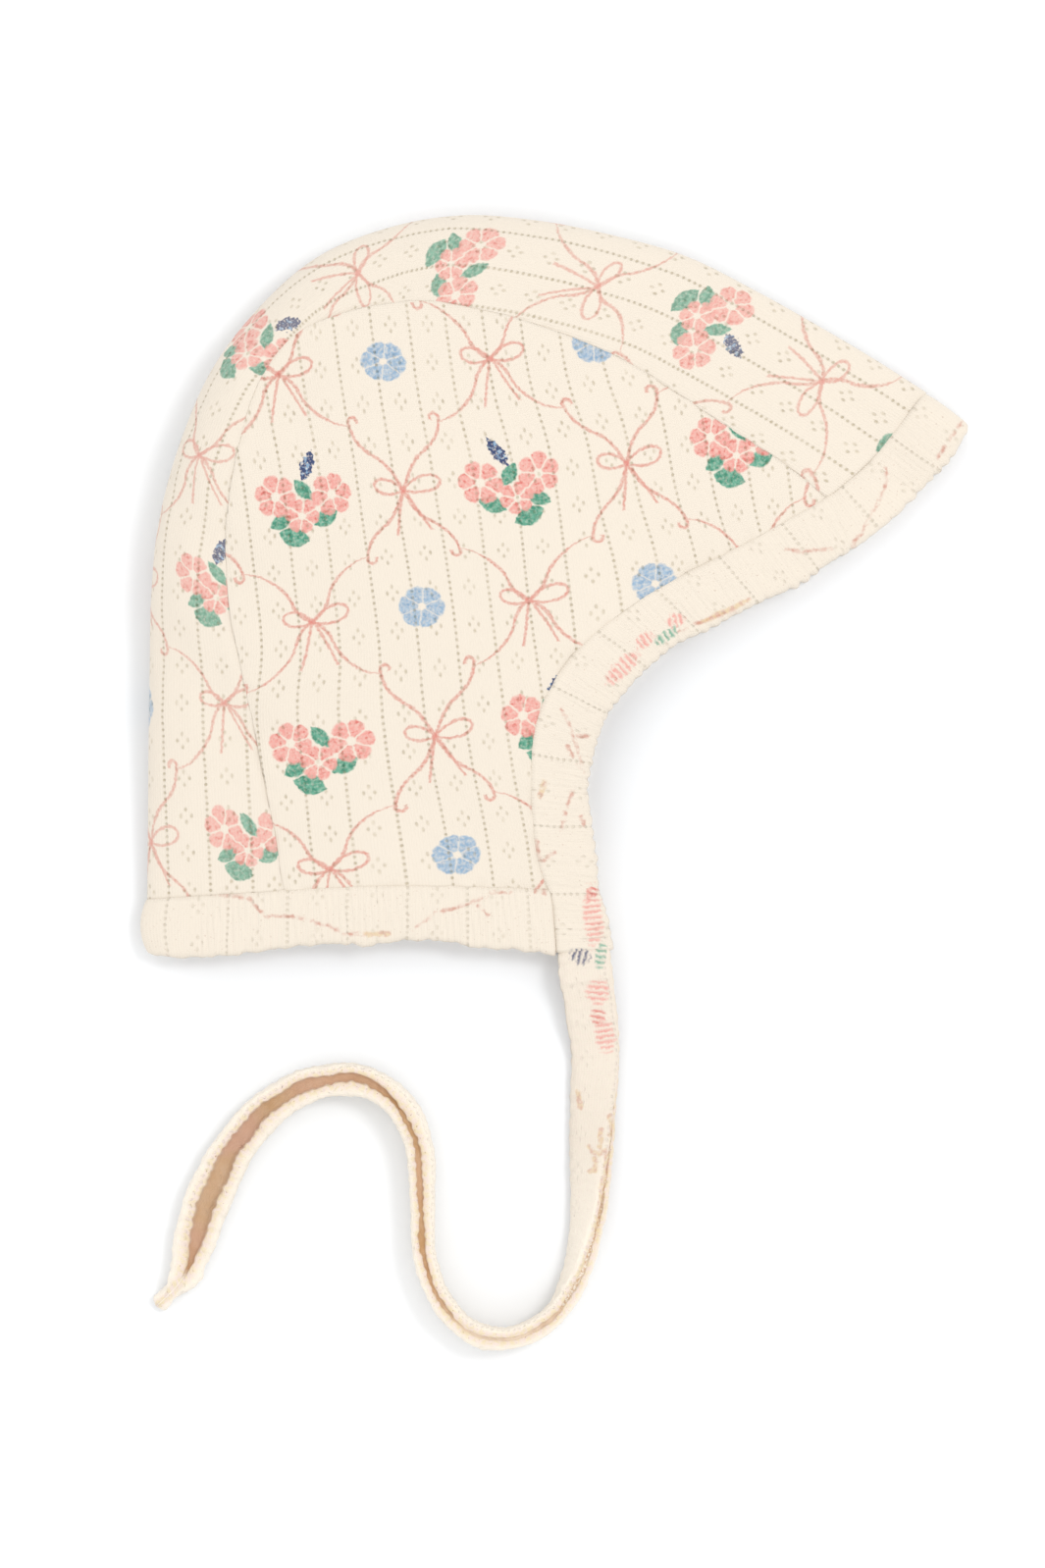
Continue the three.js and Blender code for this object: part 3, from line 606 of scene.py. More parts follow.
# Ribbon strokes that run over the bands, as lines in plan
STROKES = (
    ((127.6, 48.3), (130.9, 45.9), (131.6, 43.6)),
    ((112.5, 33.1), (112.7, 30.3), (110.4, 24.5), (107.3, 18.7), (104.5, 14.9)),
    ((99.6, 14), (92.2, 13.3), (88.7, 14)), ((130.6, 44.3), (127.8, 40.4), (124.8, 35.5)),
    ((63, -5.6), (67.9, -3.5), (76.5, -0.5)), ((36.6, -32.7), (39.7, -37.8)),
    ((35.2, -23.8), (37.3, -28), (38.7, -32), (39.7, -36.2), (40.6, -38.7)),
    ((38.3, -42.5), (36.6, -47.1), (35.2, -53)), ((39.9, -49.5), (40.8, -51.3)),
    ((39, -30.3), (41.5, -30.3)), ((29.4, -54.8), (30.6, -60), (30.3, -64.6), (29.2, -67.2)),
    ((30.3, -64.6), (31.5, -67.7)), ((30.6, -60), (33.8, -57.9)), ((15.6, -70.5), (18, -72.8)),
    ((0.5, -76.1), (5.8, -72.1), (10.5, -70.9), (15.6, -69.3), (18.7, -67.4), (23.3, -67.2)),
    ((-52.7, -65.8), (-47.4, -67.9), (-38.7, -68.6), (-34.8, -73), (-28, -73), (-19.4, -75.4),
     (-16.1, -77.2), (-10.7, -77.2)),
)
FRAY_HALF = 0.55

# Frayed, gold and brown lines along the bands' and the tie's outer edges
FRAYS = (
    ((46.9, -120.6), (47.5, -123.2), (47.1, -125.1)), ((45, -123.9), (44.7, -127.9)),
    ((46, -128.8), (46.2, -130.7), (46.1, -133.5), (45.3, -136.7), (45, -140), (44.3, -143.7),
     (44.1, -147.5), (43.6, -150.7)), ((43.4, -130.7), (43.6, -133.5), (42.2, -133.9)),
    ((42, -127.9), (42.7, -129.3), (44.3, -129.7), (46, -129)), ((39.4, -115.3), (40.1, -119)),
    ((68, -3.7), (73.5, -1.1), (76.5, 0.2), (79.8, 1.9)), ((-10.7, -77.2), (-5.4, -77.3)),
    ((31.2, -41), (30.3, -44.5)),
)


def ribbon(g, x, y, rows, stop, thin_from=RIBBON_SPAN):
    """Distance from a ribbon through the rows, growing with y from thin_from on and faster past stop."""
    here = g.curve(y, rows, RIBBON_SPAN)
    ahead = g.curve(y + 0.5, rows, RIBBON_SPAN)
    slope = (ahead - here) * 2
    away = (x - here).abs() / (slope * slope + 1).math("SQRT")
    away = away + (y - thin_from).math("MAXIMUM", 0) * RIBBON_THINNING
    return larger(away, (y - stop) * 1.5)


def loop(r, turn, toward, reach, narrow):
    """Distance from the outline of a bow's loop, a leaf of a rose curve."""
    wide = (turn - toward).wrap(2 * math.pi) * narrow
    part = wide.math("MAXIMUM", -math.pi / 2).math("MINIMUM", math.pi / 2)
    rim = part.math("COSINE") * reach
    steep = part.math("SINE") * (reach * narrow) / r.math("MAXIMUM", 1.2)
    outside = (wide - part).abs() * r * (1 / narrow)
    return (r - rim).abs() / (steep * steep + 1).math("SQRT") + outside


def flower(x, y, radius, turn, petal=PINK_PETAL):
    """Distance-like value, below 0 inside one of a flower's broad petals, which thin slits part."""
    inner, long, wide, parting = petal
    r = length(x, y)
    step = 2 * math.pi / PETALS
    angle = (y.math("ARCTAN2", x) + turn).wrap(step)
    along = (r * angle.math("COSINE") - inner * radius).abs() / (long * radius)
    across = (r * angle.math("SINE")).abs() / (wide * radius)
    shape = along.math("POWER", PETAL_POWER) + across.math("POWER", PETAL_POWER)
    shape = shape.math("POWER", 1 / PETAL_POWER)
    slit = (r * ((angle.abs() * -1) + step / 2)) * -1 + parting
    return larger((shape - 1) * (wide * radius), slit)


def leaf(x, y, turn, half_long, half_wide):
    """Distance-like value, below 0 inside a pointed leaf."""
    c, s = math.cos(math.radians(turn)), math.sin(math.radians(turn))
    along, across = x * c + y * s, (y * c - x * s).abs()
    share = along / half_long
    return across - (share * share * -half_wide + half_wide)


def print_group():
    """The cloth's print: ribbon trellis with bows, bouquets and small blue flowers."""
    g, source, out = group(
        "bonnet_print", [("Place", "Vector"), ("Base", "Color")], [("Color", "Color")])
    place = source["Place"]
    x, y, _ = g.parts(place)
    for scale, reach in (PRINT_DRIFT, PRINT_SHAKE):
        shake = g.parts(g.noise(place, scale).outputs["Color"])
        x, y = x + (shake[0] - 0.5) * reach, y + (shake[1] - 0.5) * reach
    half_x, half_y = REPEAT_X / 2, REPEAT_Y / 2
    ox, oy = x.wrap(REPEAT_X), y.wrap(REPEAT_Y)
    cx, cy = (x - half_x).wrap(REPEAT_X), (y - half_y).wrap(REPEAT_Y)
    ax, ay = ox.abs(), oy.abs()

    lines = smaller(
        ribbon(g, ax, ay, RIBBON_A, RIBBON_A_STOP),
        ribbon(g, ay * -1 + half_y, ax * -1 + half_x, RIBBON_B, RIBBON_B_STOP, RIBBON_THIN_FROM),
    )
    hook = larger((length(ax - HOOK_X, ay - HOOK_Y) - HOOK_RADIUS).abs(), (ay - HOOK_Y) * -1)
    lines = smaller(lines, hook)

    first = (ax * (1 / half_x) + ay * (1 / half_y)).below(1, 0.001)
    bx, by = between(cx, ox, first), between(cy, oy, first)
    r, turn = length(bx, by), by.math("ARCTAN2", bx)
    bow = r - KNOT_RADIUS
    for toward, reach, narrow in BOW_LOOPS:
        bow = smaller(bow, loop(r, turn, math.radians(toward), reach, narrow))
    for lean, offset, half_high in BOW_TAILS:
        tail = larger((bx + by * lean + offset).abs(), (by + BOW_TAIL_MIDDLE).abs() - half_high)
        bow = smaller(bow, tail)

    grain, spots = g.noise_value(place, 1.35, 2.0), g.noise_value(place, 0.8, 1.0)
    color = source["Base"]
    thin = lines.below(RIBBON_HALF, 0.35) * (grain * 1.5 - 0.02).clamp()
    color = g.mix(thin, color, g.mix(spots.below(0.38, 0.15), RIBBON, RIBBON_DEEP))
    knots = bow.below(RIBBON_HALF * 0.9, 0.35) * (grain * 1.2 + 0.15).clamp()
    color = g.mix(knots, color, g.mix(r.below(0.6, 0.8) * 0.7, RIBBON, PETAL_DEEP))

    column = ((x - half_x) / REPEAT_X).math("ROUND").math("PINGPONG", 1)
    row_number = (y / REPEAT_Y).math("ROUND")
    row = row_number.math("PINGPONG", 1)
    mirror = (column * -1 + 1) * (row * -1 + 1) * -2 + 1
    qx, qy = cx * mirror, oy
    fleck = (grain * 1.3 + 0.18).clamp()
    for px, py, half_long, half_wide, angle in LEAVES:
        mask = leaf(qx - px, qy - py, angle, half_long, half_wide).below(0, 0.45)
        mask = mask * (fleck + 0.12).clamp()
        color = g.mix(mask, color, g.mix(spots.below(0.5, 0.2), LEAF, LEAF_DEEP))
    for px, py, radius, angle in FLOWERS:
        mask = flower(qx - px, qy - py, radius, angle).below(0, 0.4)
        color = g.mix(mask * fleck, color, g.mix(spots.below(0.4, 0.1), PETAL, PETAL_DEEP))
    px, py, half_long, half_wide, angle = SPRIG
    sprig = leaf(qx - px, qy - py, angle, half_long, half_wide) + (shake[2] - 0.5) * 1.6
    shown = (row_number - column + 1).math("FLOORED_MODULO", SPRIG_ROWS)
    shown = shown.below(SPRIG_ROWS - 1.5, 0.1)
    dense = g.noise_value(place, 1.9, 1.0)
    navy = sprig.below(0.15, 0.3) * shown * (dense * 3.6 - 0.7).clamp()
    color = g.mix(navy, color, g.mix(spots.below(0.42, 0.1), INK, BLUE_DEEP))

    blue = flower(ox, cy * BLUE_SQUEEZE, *BLUE_FLOWER, BLUE_PETAL).below(0, 0.5)
    blue = blue * (grain * 1.7 - 0.02).clamp()
    color = g.mix(blue, color, g.mix(spots.below(0.5, 0.25), BLUE, BLUE_DEEP))
    g.link(color, out["Color"])
    return g.tree


def knit_group():
    """Pointelle openings and the fine wales of the jersey."""
    g, source, out = group(
        "bonnet_knit",
        [("Place", "Vector"), ("Spacing", "Float")],
        [("Hole", "Float"), ("Height", "Float"), ("Wale", "Float")],
    )
    x, y, _ = g.parts(source["Place"])
    spacing = Value(g.tree, source["Spacing"])
    column = (x / spacing).math("ROUND")
    lx = x - column * spacing
    ly = y.wrap(HOLE_PITCH)
    line = length(lx, ly * 0.9).below(HOLE_RADIUS, HOLE_SOFT)
    line = larger(line, lx.abs().below(0.25, 0.5) * 0.22)
    mx = x - spacing * 0.5
    mx = mx - (mx / spacing).math("ROUND") * spacing
    my = (y - DIAMOND_START).wrap(DIAMOND_PITCH)
    pair = length(mx.abs() - DIAMOND_HALF_WIDE, my * DIAMOND_HOLE_STRETCH)
    ends = length(mx, (my.abs() - DIAMOND_HALF_LONG) * DIAMOND_HOLE_STRETCH)
    diamond = smaller(pair, ends).below(HOLE_RADIUS, HOLE_SOFT)
    ragged = g.noise_value(source["Place"], 1.1)
    hole = (line * (ragged * 1.0 + 0.35) + diamond * (ragged * 1.05 + 0.03)).clamp()
    stitch = (x * (1 / WALE_PITCH)).math("FRACT") - 0.5
    leg = ((y * (1 / COURSE_PITCH) + stitch.abs() * 1.4) * (2 * math.pi)).math("SINE")
    wale = (x * (2 * math.pi / WALE_PITCH)).math("COSINE")
    height = wale * -0.035 + leg * 0.02 - hole * 0.3 + ragged * 0.05
    g.link(hole, out["Hole"])
    g.link(height, out["Height"])
    g.link(wale * 0.5 + 0.5, out["Wale"])
    return g.tree


def stroke(x, y, start, stop):
    """Distance from a straight stroke."""
    dx, dy = stop[0] - start[0], stop[1] - start[1]
    square = dx * dx + dy * dy
    px, py = x - start[0], y - start[1]
    along = (px * (dx / square) + py * (dy / square)).clamp()
    return length(px - along * dx, py - along * dy)


def nearest(x, y, rows):
    """Distance from the nearest of some broken lines."""
    near = None
    for row in rows:
        for start, stop in zip(row[:-1], row[1:]):
            away = stroke(x, y, start, stop)
            near = smaller(near, away) if near else away
    return near


def scrap_group():
    """Short dashes of print on the bands, where the cloth is cut across its pattern."""
    g, source, out = group(
        "bonnet_scraps", [("Place", "Vector"), ("Base", "Color")], [("Color", "Color")])
    place, color = source["Place"], source["Base"]
    x, y, _ = g.parts(place)
    ragged, broken = g.noise_value(place, 1.0, 1.0), g.noise_value(place, 0.6, 2.0)
    spots = g.noise_value(place, 0.9).below(0.48, 0.1)
    line = (nearest(x, y, STROKES) + (ragged - 0.5) * 1.1).below(RIBBON_HALF, 0.5)
    line = line * (broken * 3.6 - 1.3).clamp() * 0.75
    color = g.mix(line, color, g.mix(broken, RIBBON, RIBBON_DEEP))
    line = (nearest(x, y, FRAYS) + (broken - 0.5) * 1.5).below(FRAY_HALF, 0.5)
    line = line * (ragged * 3.0 - 0.5).clamp() * 0.55
    color = g.mix(line, color, g.mix(spots, FRAY, FRAY_DEEP))
    for cx, cy, half_long, half_wide, turn, ink in SCRAPS:
        c, s = math.cos(math.radians(turn)), math.sin(math.radians(turn))
        dx, dy = x - cx, y - cy
        along, across = dx * c + dy * s, dy * c - dx * s
        shape = length(along * (1 / half_long), across * (1 / half_wide)) + (ragged - 0.5) * 0.9
        dash = (along * (2 * math.pi / DASH_PITCH) + ragged * 5).math("SINE")
        mask = shape.below(0.95, 0.3) * (dash * 0.42 + ragged * 0.9 + 0.05).clamp() * 0.9
        color = g.mix(mask, color, (PETAL, LEAF, INK, PETAL_DEEP)[ink])
    g.link(color, out["Color"])
    return g.tree


PRINT = print_group()
KNIT = knit_group()
SCRAP = scrap_group()


def material(name):
    m = bpy.data.materials.new(name)
    m.use_nodes = True
    g = Graph(m.node_tree)
    shader = m.node_tree.nodes["Principled BSDF"]
    shader.inputs["Roughness"].default_value = ROUGHNESS
    shader.inputs["Sheen Weight"].default_value = SHEEN
    shader.inputs["Sheen Roughness"].default_value = SHEEN_ROUGHNESS
    shader.inputs["Specular IOR Level"].default_value = SPECULAR
    return m, g, shader


def add_scraps(g, color):
    scrap = g.new("ShaderNodeGroup", node_tree=SCRAP)
    g.link(g.attribute("plan_mm"), scrap.inputs["Place"])
    g.link(color, scrap.inputs["Base"])
    return scrap.outputs["Color"]


def add_knit(g, spacing, base):
    """The knit's node, and the base colour with painted shade in the grooves between its wales."""
    knit = g.new("ShaderNodeGroup", node_tree=KNIT)
    g.link(g.attribute("knit_mm"), knit.inputs["Place"])
    knit.inputs["Spacing"].default_value = spacing
    # Painted shade: darker towards CREAM_DEEP where the wales' height is lowest
    return knit, g.mix(Value(g.tree, knit.outputs["Wale"]) * WALE_SHADE, base, CREAM_DEEP)


def finish_cloth(g, shader, knit, color):
    """Colour and stitches into the shader."""
    g.link(color, shader.inputs["Base Color"])
    bump = g.new("ShaderNodeBump")
    bump.inputs["Distance"].default_value = MM
    bump.inputs["Strength"].default_value = STITCH_BUMP
    g.link(knit.outputs["Height"], bump.inputs["Height"])
    g.link(bump.outputs[0], shader.inputs["Normal"])


def cloth(name, base, printed=1.0, spacing=LINE_SPACING, holes=PANEL_HOLES, band=False):
    """Knitted cloth: print or scraps of it, then openwork holes painted darker as painted shade, with the
    stitches in the bump.
    """
    m, g, shader = material(name)
    knit, ground = add_knit(g, spacing, base)
    if band:
        specks = g.noise_value(g.attribute("knit_mm"), 1.5, 1.0).below(0.29, 0.06) * 0.3
        color = g.mix(specks, add_scraps(g, ground), RIM_SPECK)
    else:
        inked = g.new("ShaderNodeGroup", node_tree=PRINT)
        g.link(g.attribute("print_mm"), inked.inputs["Place"])
        g.link(ground, inked.inputs["Base"])
        color = g.mix(printed, ground, inked.outputs["Color"])
    # Painted shade: the holes are multiplied darker, for the shaded layer seen through them
    dark = g.new("ShaderNodeMix", data_type="RGBA", blend_type="MULTIPLY")
    g.link(Value(g.tree, knit.outputs["Hole"]) * holes, dark.inputs[0])
    g.link(color, dark.inputs[6])
    dark.inputs[7].default_value = HOLE_PAINTED_SHADE
    finish_cloth(g, shader, knit, dark.outputs[2])
    return m


def tie_material():
    """Tape cloth: cream outside, painted lighter along its turned flank as painted light, and a brown
    painted shade on the wrong side in the fold's slit.
    """
    m, g, shader = material("tie_cloth")
    knit, cream = add_knit(g, HEM_LINE_SPACING, CREAM)
    inside, narrow_shade, rim = g.parts(g.attribute("tone"))
    place = g.attribute("knit_mm")
    _, along, _ = g.parts(place)
    spots, tint = g.noise_value(place, 0.8, 2.0), g.noise_value(place, 0.3, 1.0)
    specks = g.noise_value(place, 1.7, 1.0)
    # Painted shade in the fold: deeper where the slit is narrow, with a slow pink drift
    fold_shade = g.mix((narrow_shade * 0.7 + tint * 0.9 - 0.3).clamp(), FOLD_PAINTED_SHADE, FOLD_PAINTED_SHADE_DEEP)
    fold_shade = g.mix(g.noise_value(place, 0.05).below(0.5, 0.1) * (narrow_shade * -0.7 + 0.7), fold_shade, FOLD_PAINTED_SHADE_PINK)
    # Painted light: away from the rims, the outside turns to a lighter cream along the rolled flank
    flank_painted_light = ((along - TIE_ROLLS_FROM) * (1 / TIE_ROLLS_WITHIN)).clamp() * (rim * -1 + 1)
    outside = add_scraps(g, g.mix(flank_painted_light, cream, TIE_FLANK_PAINTED_LIGHT))
    outside = g.mix(rim * spots.below(0.52, 0.2) * 0.75, outside, RIM_GOLD)
    blush = (spots * -1 + 1).below(0.5, 0.1) * (inside * -1 + 1)
    outside = g.mix(blush * (rim * 0.6 + 0.12), outside, RIM_PINK)
    outside = g.mix(specks.below(0.29, 0.05) * (rim * 0.6 + 0.15), outside, RIM_SPECK)
    # The fold's painted shade shows whole past TIE_LAID_FROM and in specks before it
    whole = larger((along - TIE_LAID_FROM).clamp(), (specks * 5 - 2).clamp())
    finish_cloth(g, shader, knit, g.mix(inside * whole, outside, fold_shade))
    return m


PANEL = cloth("panel_cloth", CREAM)
CENTRE = cloth("centre_cloth", CREAM, printed=CENTRE_PRINTED)
PANEL_INSIDE = cloth("panel_wrong_side", CREAM_DEEP, printed=INSIDE_PRINTED)
HEM = cloth("hem_cloth", CREAM, spacing=HEM_LINE_SPACING, holes=BAND_HOLES, band=True)
BINDING = cloth("binding_cloth", CREAM, spacing=BINDING_LINE_SPACING, holes=BAND_HOLES, band=True)
TIE = tie_material()


# Seams of the side panel: table, its shares from start to end, columns of the seam and of the far side
SEAMS = {
    "back": (CENTRE_ROWS, 0, CROWN_CORNER, 2, 0),
    "top": (CENTRE_ROWS, CROWN_CORNER, 1, 2, 0),
    "front": (FACE_ROWS, CHIN_CORNER, PEAK_CORNER, 0, 2),
    "bottom": (HEM_ROWS, NAPE_CORNER, 1, 0, 2),
}


def seam(name, s):
    """Points at shares s of a seam, and the step off it into the side panel."""
    rows, start, stop, near, far = SEAMS[name]
    row = at(rows, start + (stop - start) * s)
    point = row[..., near:near + 2]
    step = point - row[..., far:far + 2]
    return point, SEAM_GAP * step / np.linalg.norm(step, axis=-1, keepdims=True)


def panel_plan(u, v):
    """Plan points of the side panel on the grid of shares u (back to front) by v (neck to crown)."""

    def edge(name, s, before, after):
        point, step = seam(name, s)
        near, far = seam(*before)[1], seam(*after)[1]
        return point + step + (1 - s)[:, None] * near + s[:, None] * far

    back = edge("back", v, ("bottom", 0), ("top", 0))[None]
    front = edge("front", v, ("bottom", 1), ("top", 1))[None]
    low = edge("bottom", u, ("back", 0), ("front", 0))[:, None]
    high = edge("top", u, ("back", 1), ("front", 1))[:, None]
    u, v = u[:, None, None], v[None, :, None]
    ruled = (1 - v) * low + v * high + (1 - u) * back + u * front
    floor = (1 - u) * back[:, :1] + u * front[:, :1]
    top = (1 - u) * back[:, -1:] + u * front[:, -1:]
    return ruled - (1 - v) * floor - v * top


def print_place(x, y):
    """Place in the print and the knit of a plan point on the upper side panel."""
    weight, shift_x, shift_y = 1e-9, 0, 0
    for px, py, sx, sy in PRINT_SHIFTS:
        near = np.exp(-((x - px) ** 2 + (y - py) ** 2) / PRINT_SHIFT_REACH ** 2)
        weight, shift_x, shift_y = weight + near, shift_x + near * sx, shift_y + near * sy
    dx = x - shift_x / weight - PRINT_ORIGIN[0]
    dy = y - shift_y / weight - PRINT_ORIGIN[1]
    c, s = math.cos(GRAIN_TILT), math.sin(GRAIN_TILT)
    return np.stack([c * dx + s * dy, -s * dx + c * dy, np.zeros_like(dx)], -1)


def side_panel(name, upper, cells):
    """The side panel that faces up, or its twin that lies flat on the floor."""
    plan = panel_plan(np.linspace(0, 1, cells + 1), np.linspace(0, 1, cells + 1))
    x, y = plan[..., 0], plan[..., 1]
    z = height_at(x, y) if upper else np.full_like(x, PANEL_THICK / 2)
    grid = np.stack([x, y, z], -1)
    back, front, low, top = edge_distance(grid)
    near = np.minimum(np.minimum(back, front), np.minimum(low, top))
    if upper:
        grid[..., 2] += ripple(x, y, PANEL_WAVES)
        grid[..., 2] -= SEAM_DIP * np.exp(-((np.minimum(back, top) / SEAM_DIP_REACH) ** 2))
        grid[..., 2] -= BAND_SEAM_DIP * np.exp(-((np.minimum(front, low) / SEAM_DIP_REACH) ** 2))
        grid[..., 2] += ripple(x, y, PANEL_EDGE_WAVES) * np.exp(-((near / PANEL_EDGE_REACH) ** 2))
    place = print_place(x, y)
    if not upper:
        place = place * [-1, 1, 1]
    knit = place + [SIDE_LINE_START, 0, 0]
    return add_sheet(
        name, grid, PANEL_THICK, {"print_mm": place, "knit_mm": knit}, [PANEL, PANEL_INSIDE], not upper)


def fold_steps(radius, cells):
    return radius * (1 - np.cos(np.linspace(0, math.pi / 2, cells + 1)[:-1]))


def centre_panel():
    """The strip from nape to peak, folded over the outline: floor layer, fold, upper layer."""
    total, share = ruler(CENTRE_ROWS)
    inset = SEAM_GAP / total
    lengths = np.linspace(inset * total, total * (1 - inset), CENTRE_STATIONS)
    rows, places = [], []
    for along in lengths:
        t = float(share(along))
        ox, oy, sx, sy = at(CENTRE_ROWS, t)
        full = math.hypot(sx - ox, sy - oy)
        width = full - PANEL_THICK / 2
        radius = min(CROWN_FOLD, CROWN_FOLD_SHARE * width)
        half = np.concatenate([
            fold_steps(radius, CENTRE_FOLD_CELLS), np.linspace(radius, width, CENTRE_FLAT_CELLS)])
        bow = PEAK_BOW * max(0, 1 - (1 - t) / PEAK_BOW_SHARE) ** 2
        both = []
        for side, off in ((-1, half[:0:-1]), (1, half)):
            part = (off + PANEL_THICK / 2) / full
            forward = bow * 4 * part * (1 - part) / full
            x = ox + (sx - ox) * part - (sy - oy) * forward
            y = oy + (sy - oy) * part + (sx - ox) * forward
            both.append(np.stack([x, y, layer_at(x, y, off, radius, side, PANEL_THICK)], -1))
        row = np.concatenate(both)
        arc = np.concatenate([[0], np.cumsum(np.linalg.norm(np.diff(row, axis=0), axis=1))])
        arc -= arc[len(both[0])]
        rows.append(row)
        places.append(arc)
    grid, arc = np.array(rows), np.array(places)
    marks, drifts, shares = GUSSET_ROWS.T
    drift = np.interp(lengths, marks, drifts)[:, None]
    v = np.interp(lengths, marks, shares)
    v += np.minimum(lengths - marks[0], 0) + np.maximum(lengths - marks[-1], 0)
    flat = np.zeros_like(arc)
    squeeze = np.interp(lengths, *GUSSET_SQUEEZE)[:, None]
    place = np.stack([REPEAT_X * 1.5 + (arc - drift) * squeeze, flat + v[:, None], flat], -1)
    long = flat + lengths[:, None]
    knit = np.stack([(arc - GUSSET_LINE_START) / GUSSET_LINE_STRETCH, long, flat], -1)
    near = np.min(edge_distance(grid)[2:], axis=0)
    n = normals_of(grid)
    push = ripple(arc, long, CENTRE_WAVES) * np.clip(arc / CENTRE_CALM, 0, 1)
    push -= SEAM_DIP * np.exp(-((near / SEAM_DIP_REACH) ** 2)) * (arc > 0)
    grid = grid - n * push[..., None]
    return add_sheet("centre_panel_cloth", grid, PANEL_THICK, {"print_mm": place, "knit_mm": knit},
                     [CENTRE, PANEL_INSIDE], True)


def band(name, rows, radius, bulge, first_line, look, turned, picot):
    """A band folded over its outline end: floor layer, fold, upper layer."""
    total, share = ruler(rows)
    start = BAND_THICK / 2
    half = np.concatenate([
        fold_steps(radius, BAND_FOLD_CELLS), np.linspace(radius, total - start, BAND_STATIONS)])
    both = []
    s = np.linspace(0, 1, BAND_ACROSS + 1)
    for side, off in ((-1, half[:0:-1]), (1, half)):
        line = at(rows, share(off + start))
        inner, outer = line[:, None, 0:2], line[:, None, 2:4]
        scallop = np.abs(np.sin((off + start) * math.pi / picot))
        wave = scallop * (SCALLOP + ripple(off, off * 0, SCALLOP_WAVES))
        wave = (wave + ripple(off, off * 0, BAND_EDGE_WAVES))[:, None]
        wide = np.linalg.norm(outer - inner, axis=2)
        edge = np.clip((s[None] - 1) / BAND_EDGE_SHARE + 1, 0, 1)
        plan = inner + (outer - inner) * (s[None] + (wave - SCALLOP_MEAN) / wide * edge)[..., None]
        swell = bulge * np.sin(math.pi * s)[None] * np.maximum(0, 1 - off / radius)[:, None]
        x, y = plan[..., 0] - swell, plan[..., 1]
        z = layer_at(x, y, np.broadcast_to(off[:, None], x.shape), radius, side, BAND_THICK)
        both.append(np.stack([x, y, z], -1))
    grid = np.concatenate(both)
    along = np.concatenate([-half[:0:-1], half])[:, None]
    wide = np.linalg.norm(grid[:, -1, :2] - grid[:, 0, :2], axis=1)[:, None]
    flat = np.zeros(grid.shape[:2])
    knit = np.stack([flat + along - first_line, wide * s[None], flat], -1)
    round_off = np.sqrt(1 - (2 * s - 1) ** 2 * 0.98)
    thick = BAND_THICK * (BAND_EDGE_THICK + (1 - BAND_EDGE_THICK) * round_off)[None] + flat
    upper = grid[..., 2] > UPPER_FROM
    grid[..., 2] += ripple(along, s[None] * BAND_WAVE_STRETCH, BAND_WAVES) * upper
    grid[..., 2] += ripple(along, s[None] * RIB_STRETCH, RIB_WAVES) * upper
    plan = np.where(grid[..., 2:] > SCRAPS_FROM, grid, FAR_OFF)
    return add_sheet(name, grid, thick, {"knit_mm": knit, "plan_mm": plan},
                     [look, PANEL_INSIDE], turned, BAND_EDGE_BULGE)


def smooth_ring(points, factor):
    """A closed profile with more points, through its corners' middles."""
    for _ in range(factor):
        nxt = np.roll(points, -1, axis=0)
        points = np.stack([0.75 * points + 0.25 * nxt, 0.25 * points + 0.75 * nxt], 1)
        points = points.reshape(-1, *points.shape[2:])
    return points


def add_sweep(name, rings, attributes, materials):
    """A closed tube from rings of points (stations, count, 3), its ends closed on their middles."""
    stations, count = rings.shape[:2]
    ids = np.arange(stations * count).reshape(stations, count)
    nxt = np.roll(ids, -1, axis=1)
    quads = np.stack([ids[:-1], nxt[:-1], nxt[1:], ids[1:]], 2).reshape(-1, 4)
    caps = []
    for k, (i, turn) in enumerate(((0, -1), (stations - 1, 1))):
        a, b = (ids[i], nxt[i])[::turn]
        caps += [(int(left), int(right), stations * count + k) for left, right in zip(a, b)]

    def with_middles(v):
        return np.concatenate([v.reshape(-1, 3), v[:1].mean(axis=1), v[-1:].mean(axis=1)])

    points = with_middles(rings)
    if signed_volume(points, quads) < 0:
        quads = quads[:, ::-1]
        caps = [c[::-1] for c in caps]
    spread = {key: with_middles(v) for key, v in attributes.items()}
    return add_mesh(name, points, quads.tolist() + caps, spread, materials)


def tape_profile(width, slit_from, slit_to, depth, under):
    """The folded tape across: fold at the bottom, slit at the top."""
    w = width / 2
    right, left = max(w - slit_to, 0.3), max(w + slit_from, 0.3)
    rise = under + 0.12 * (depth - under)

    def side(wall, sign):
        rim, edge = 0.35 * wall, sign * (w - wall)
        return [
            (sign * 0.62 * w, 0.05 * depth), (sign * w, 0.24 * depth), (sign * w, depth - rim),
            (sign * (w - rim), depth), (edge + sign * rim, depth), (edge, depth - 0.3 * rim), (edge, rise),
        ]

    middle = ((slit_from + slit_to) / 2, under)
    return np.array([(0, 0), *side(right, 1), middle, *side(left, -1)[::-1]], float)


def heading_at(rows, t):
    """Step along a table's middle line around a share of its length."""
    return at(rows, min(t + 0.002, 1)) - at(rows, max(t - 0.002, 0))


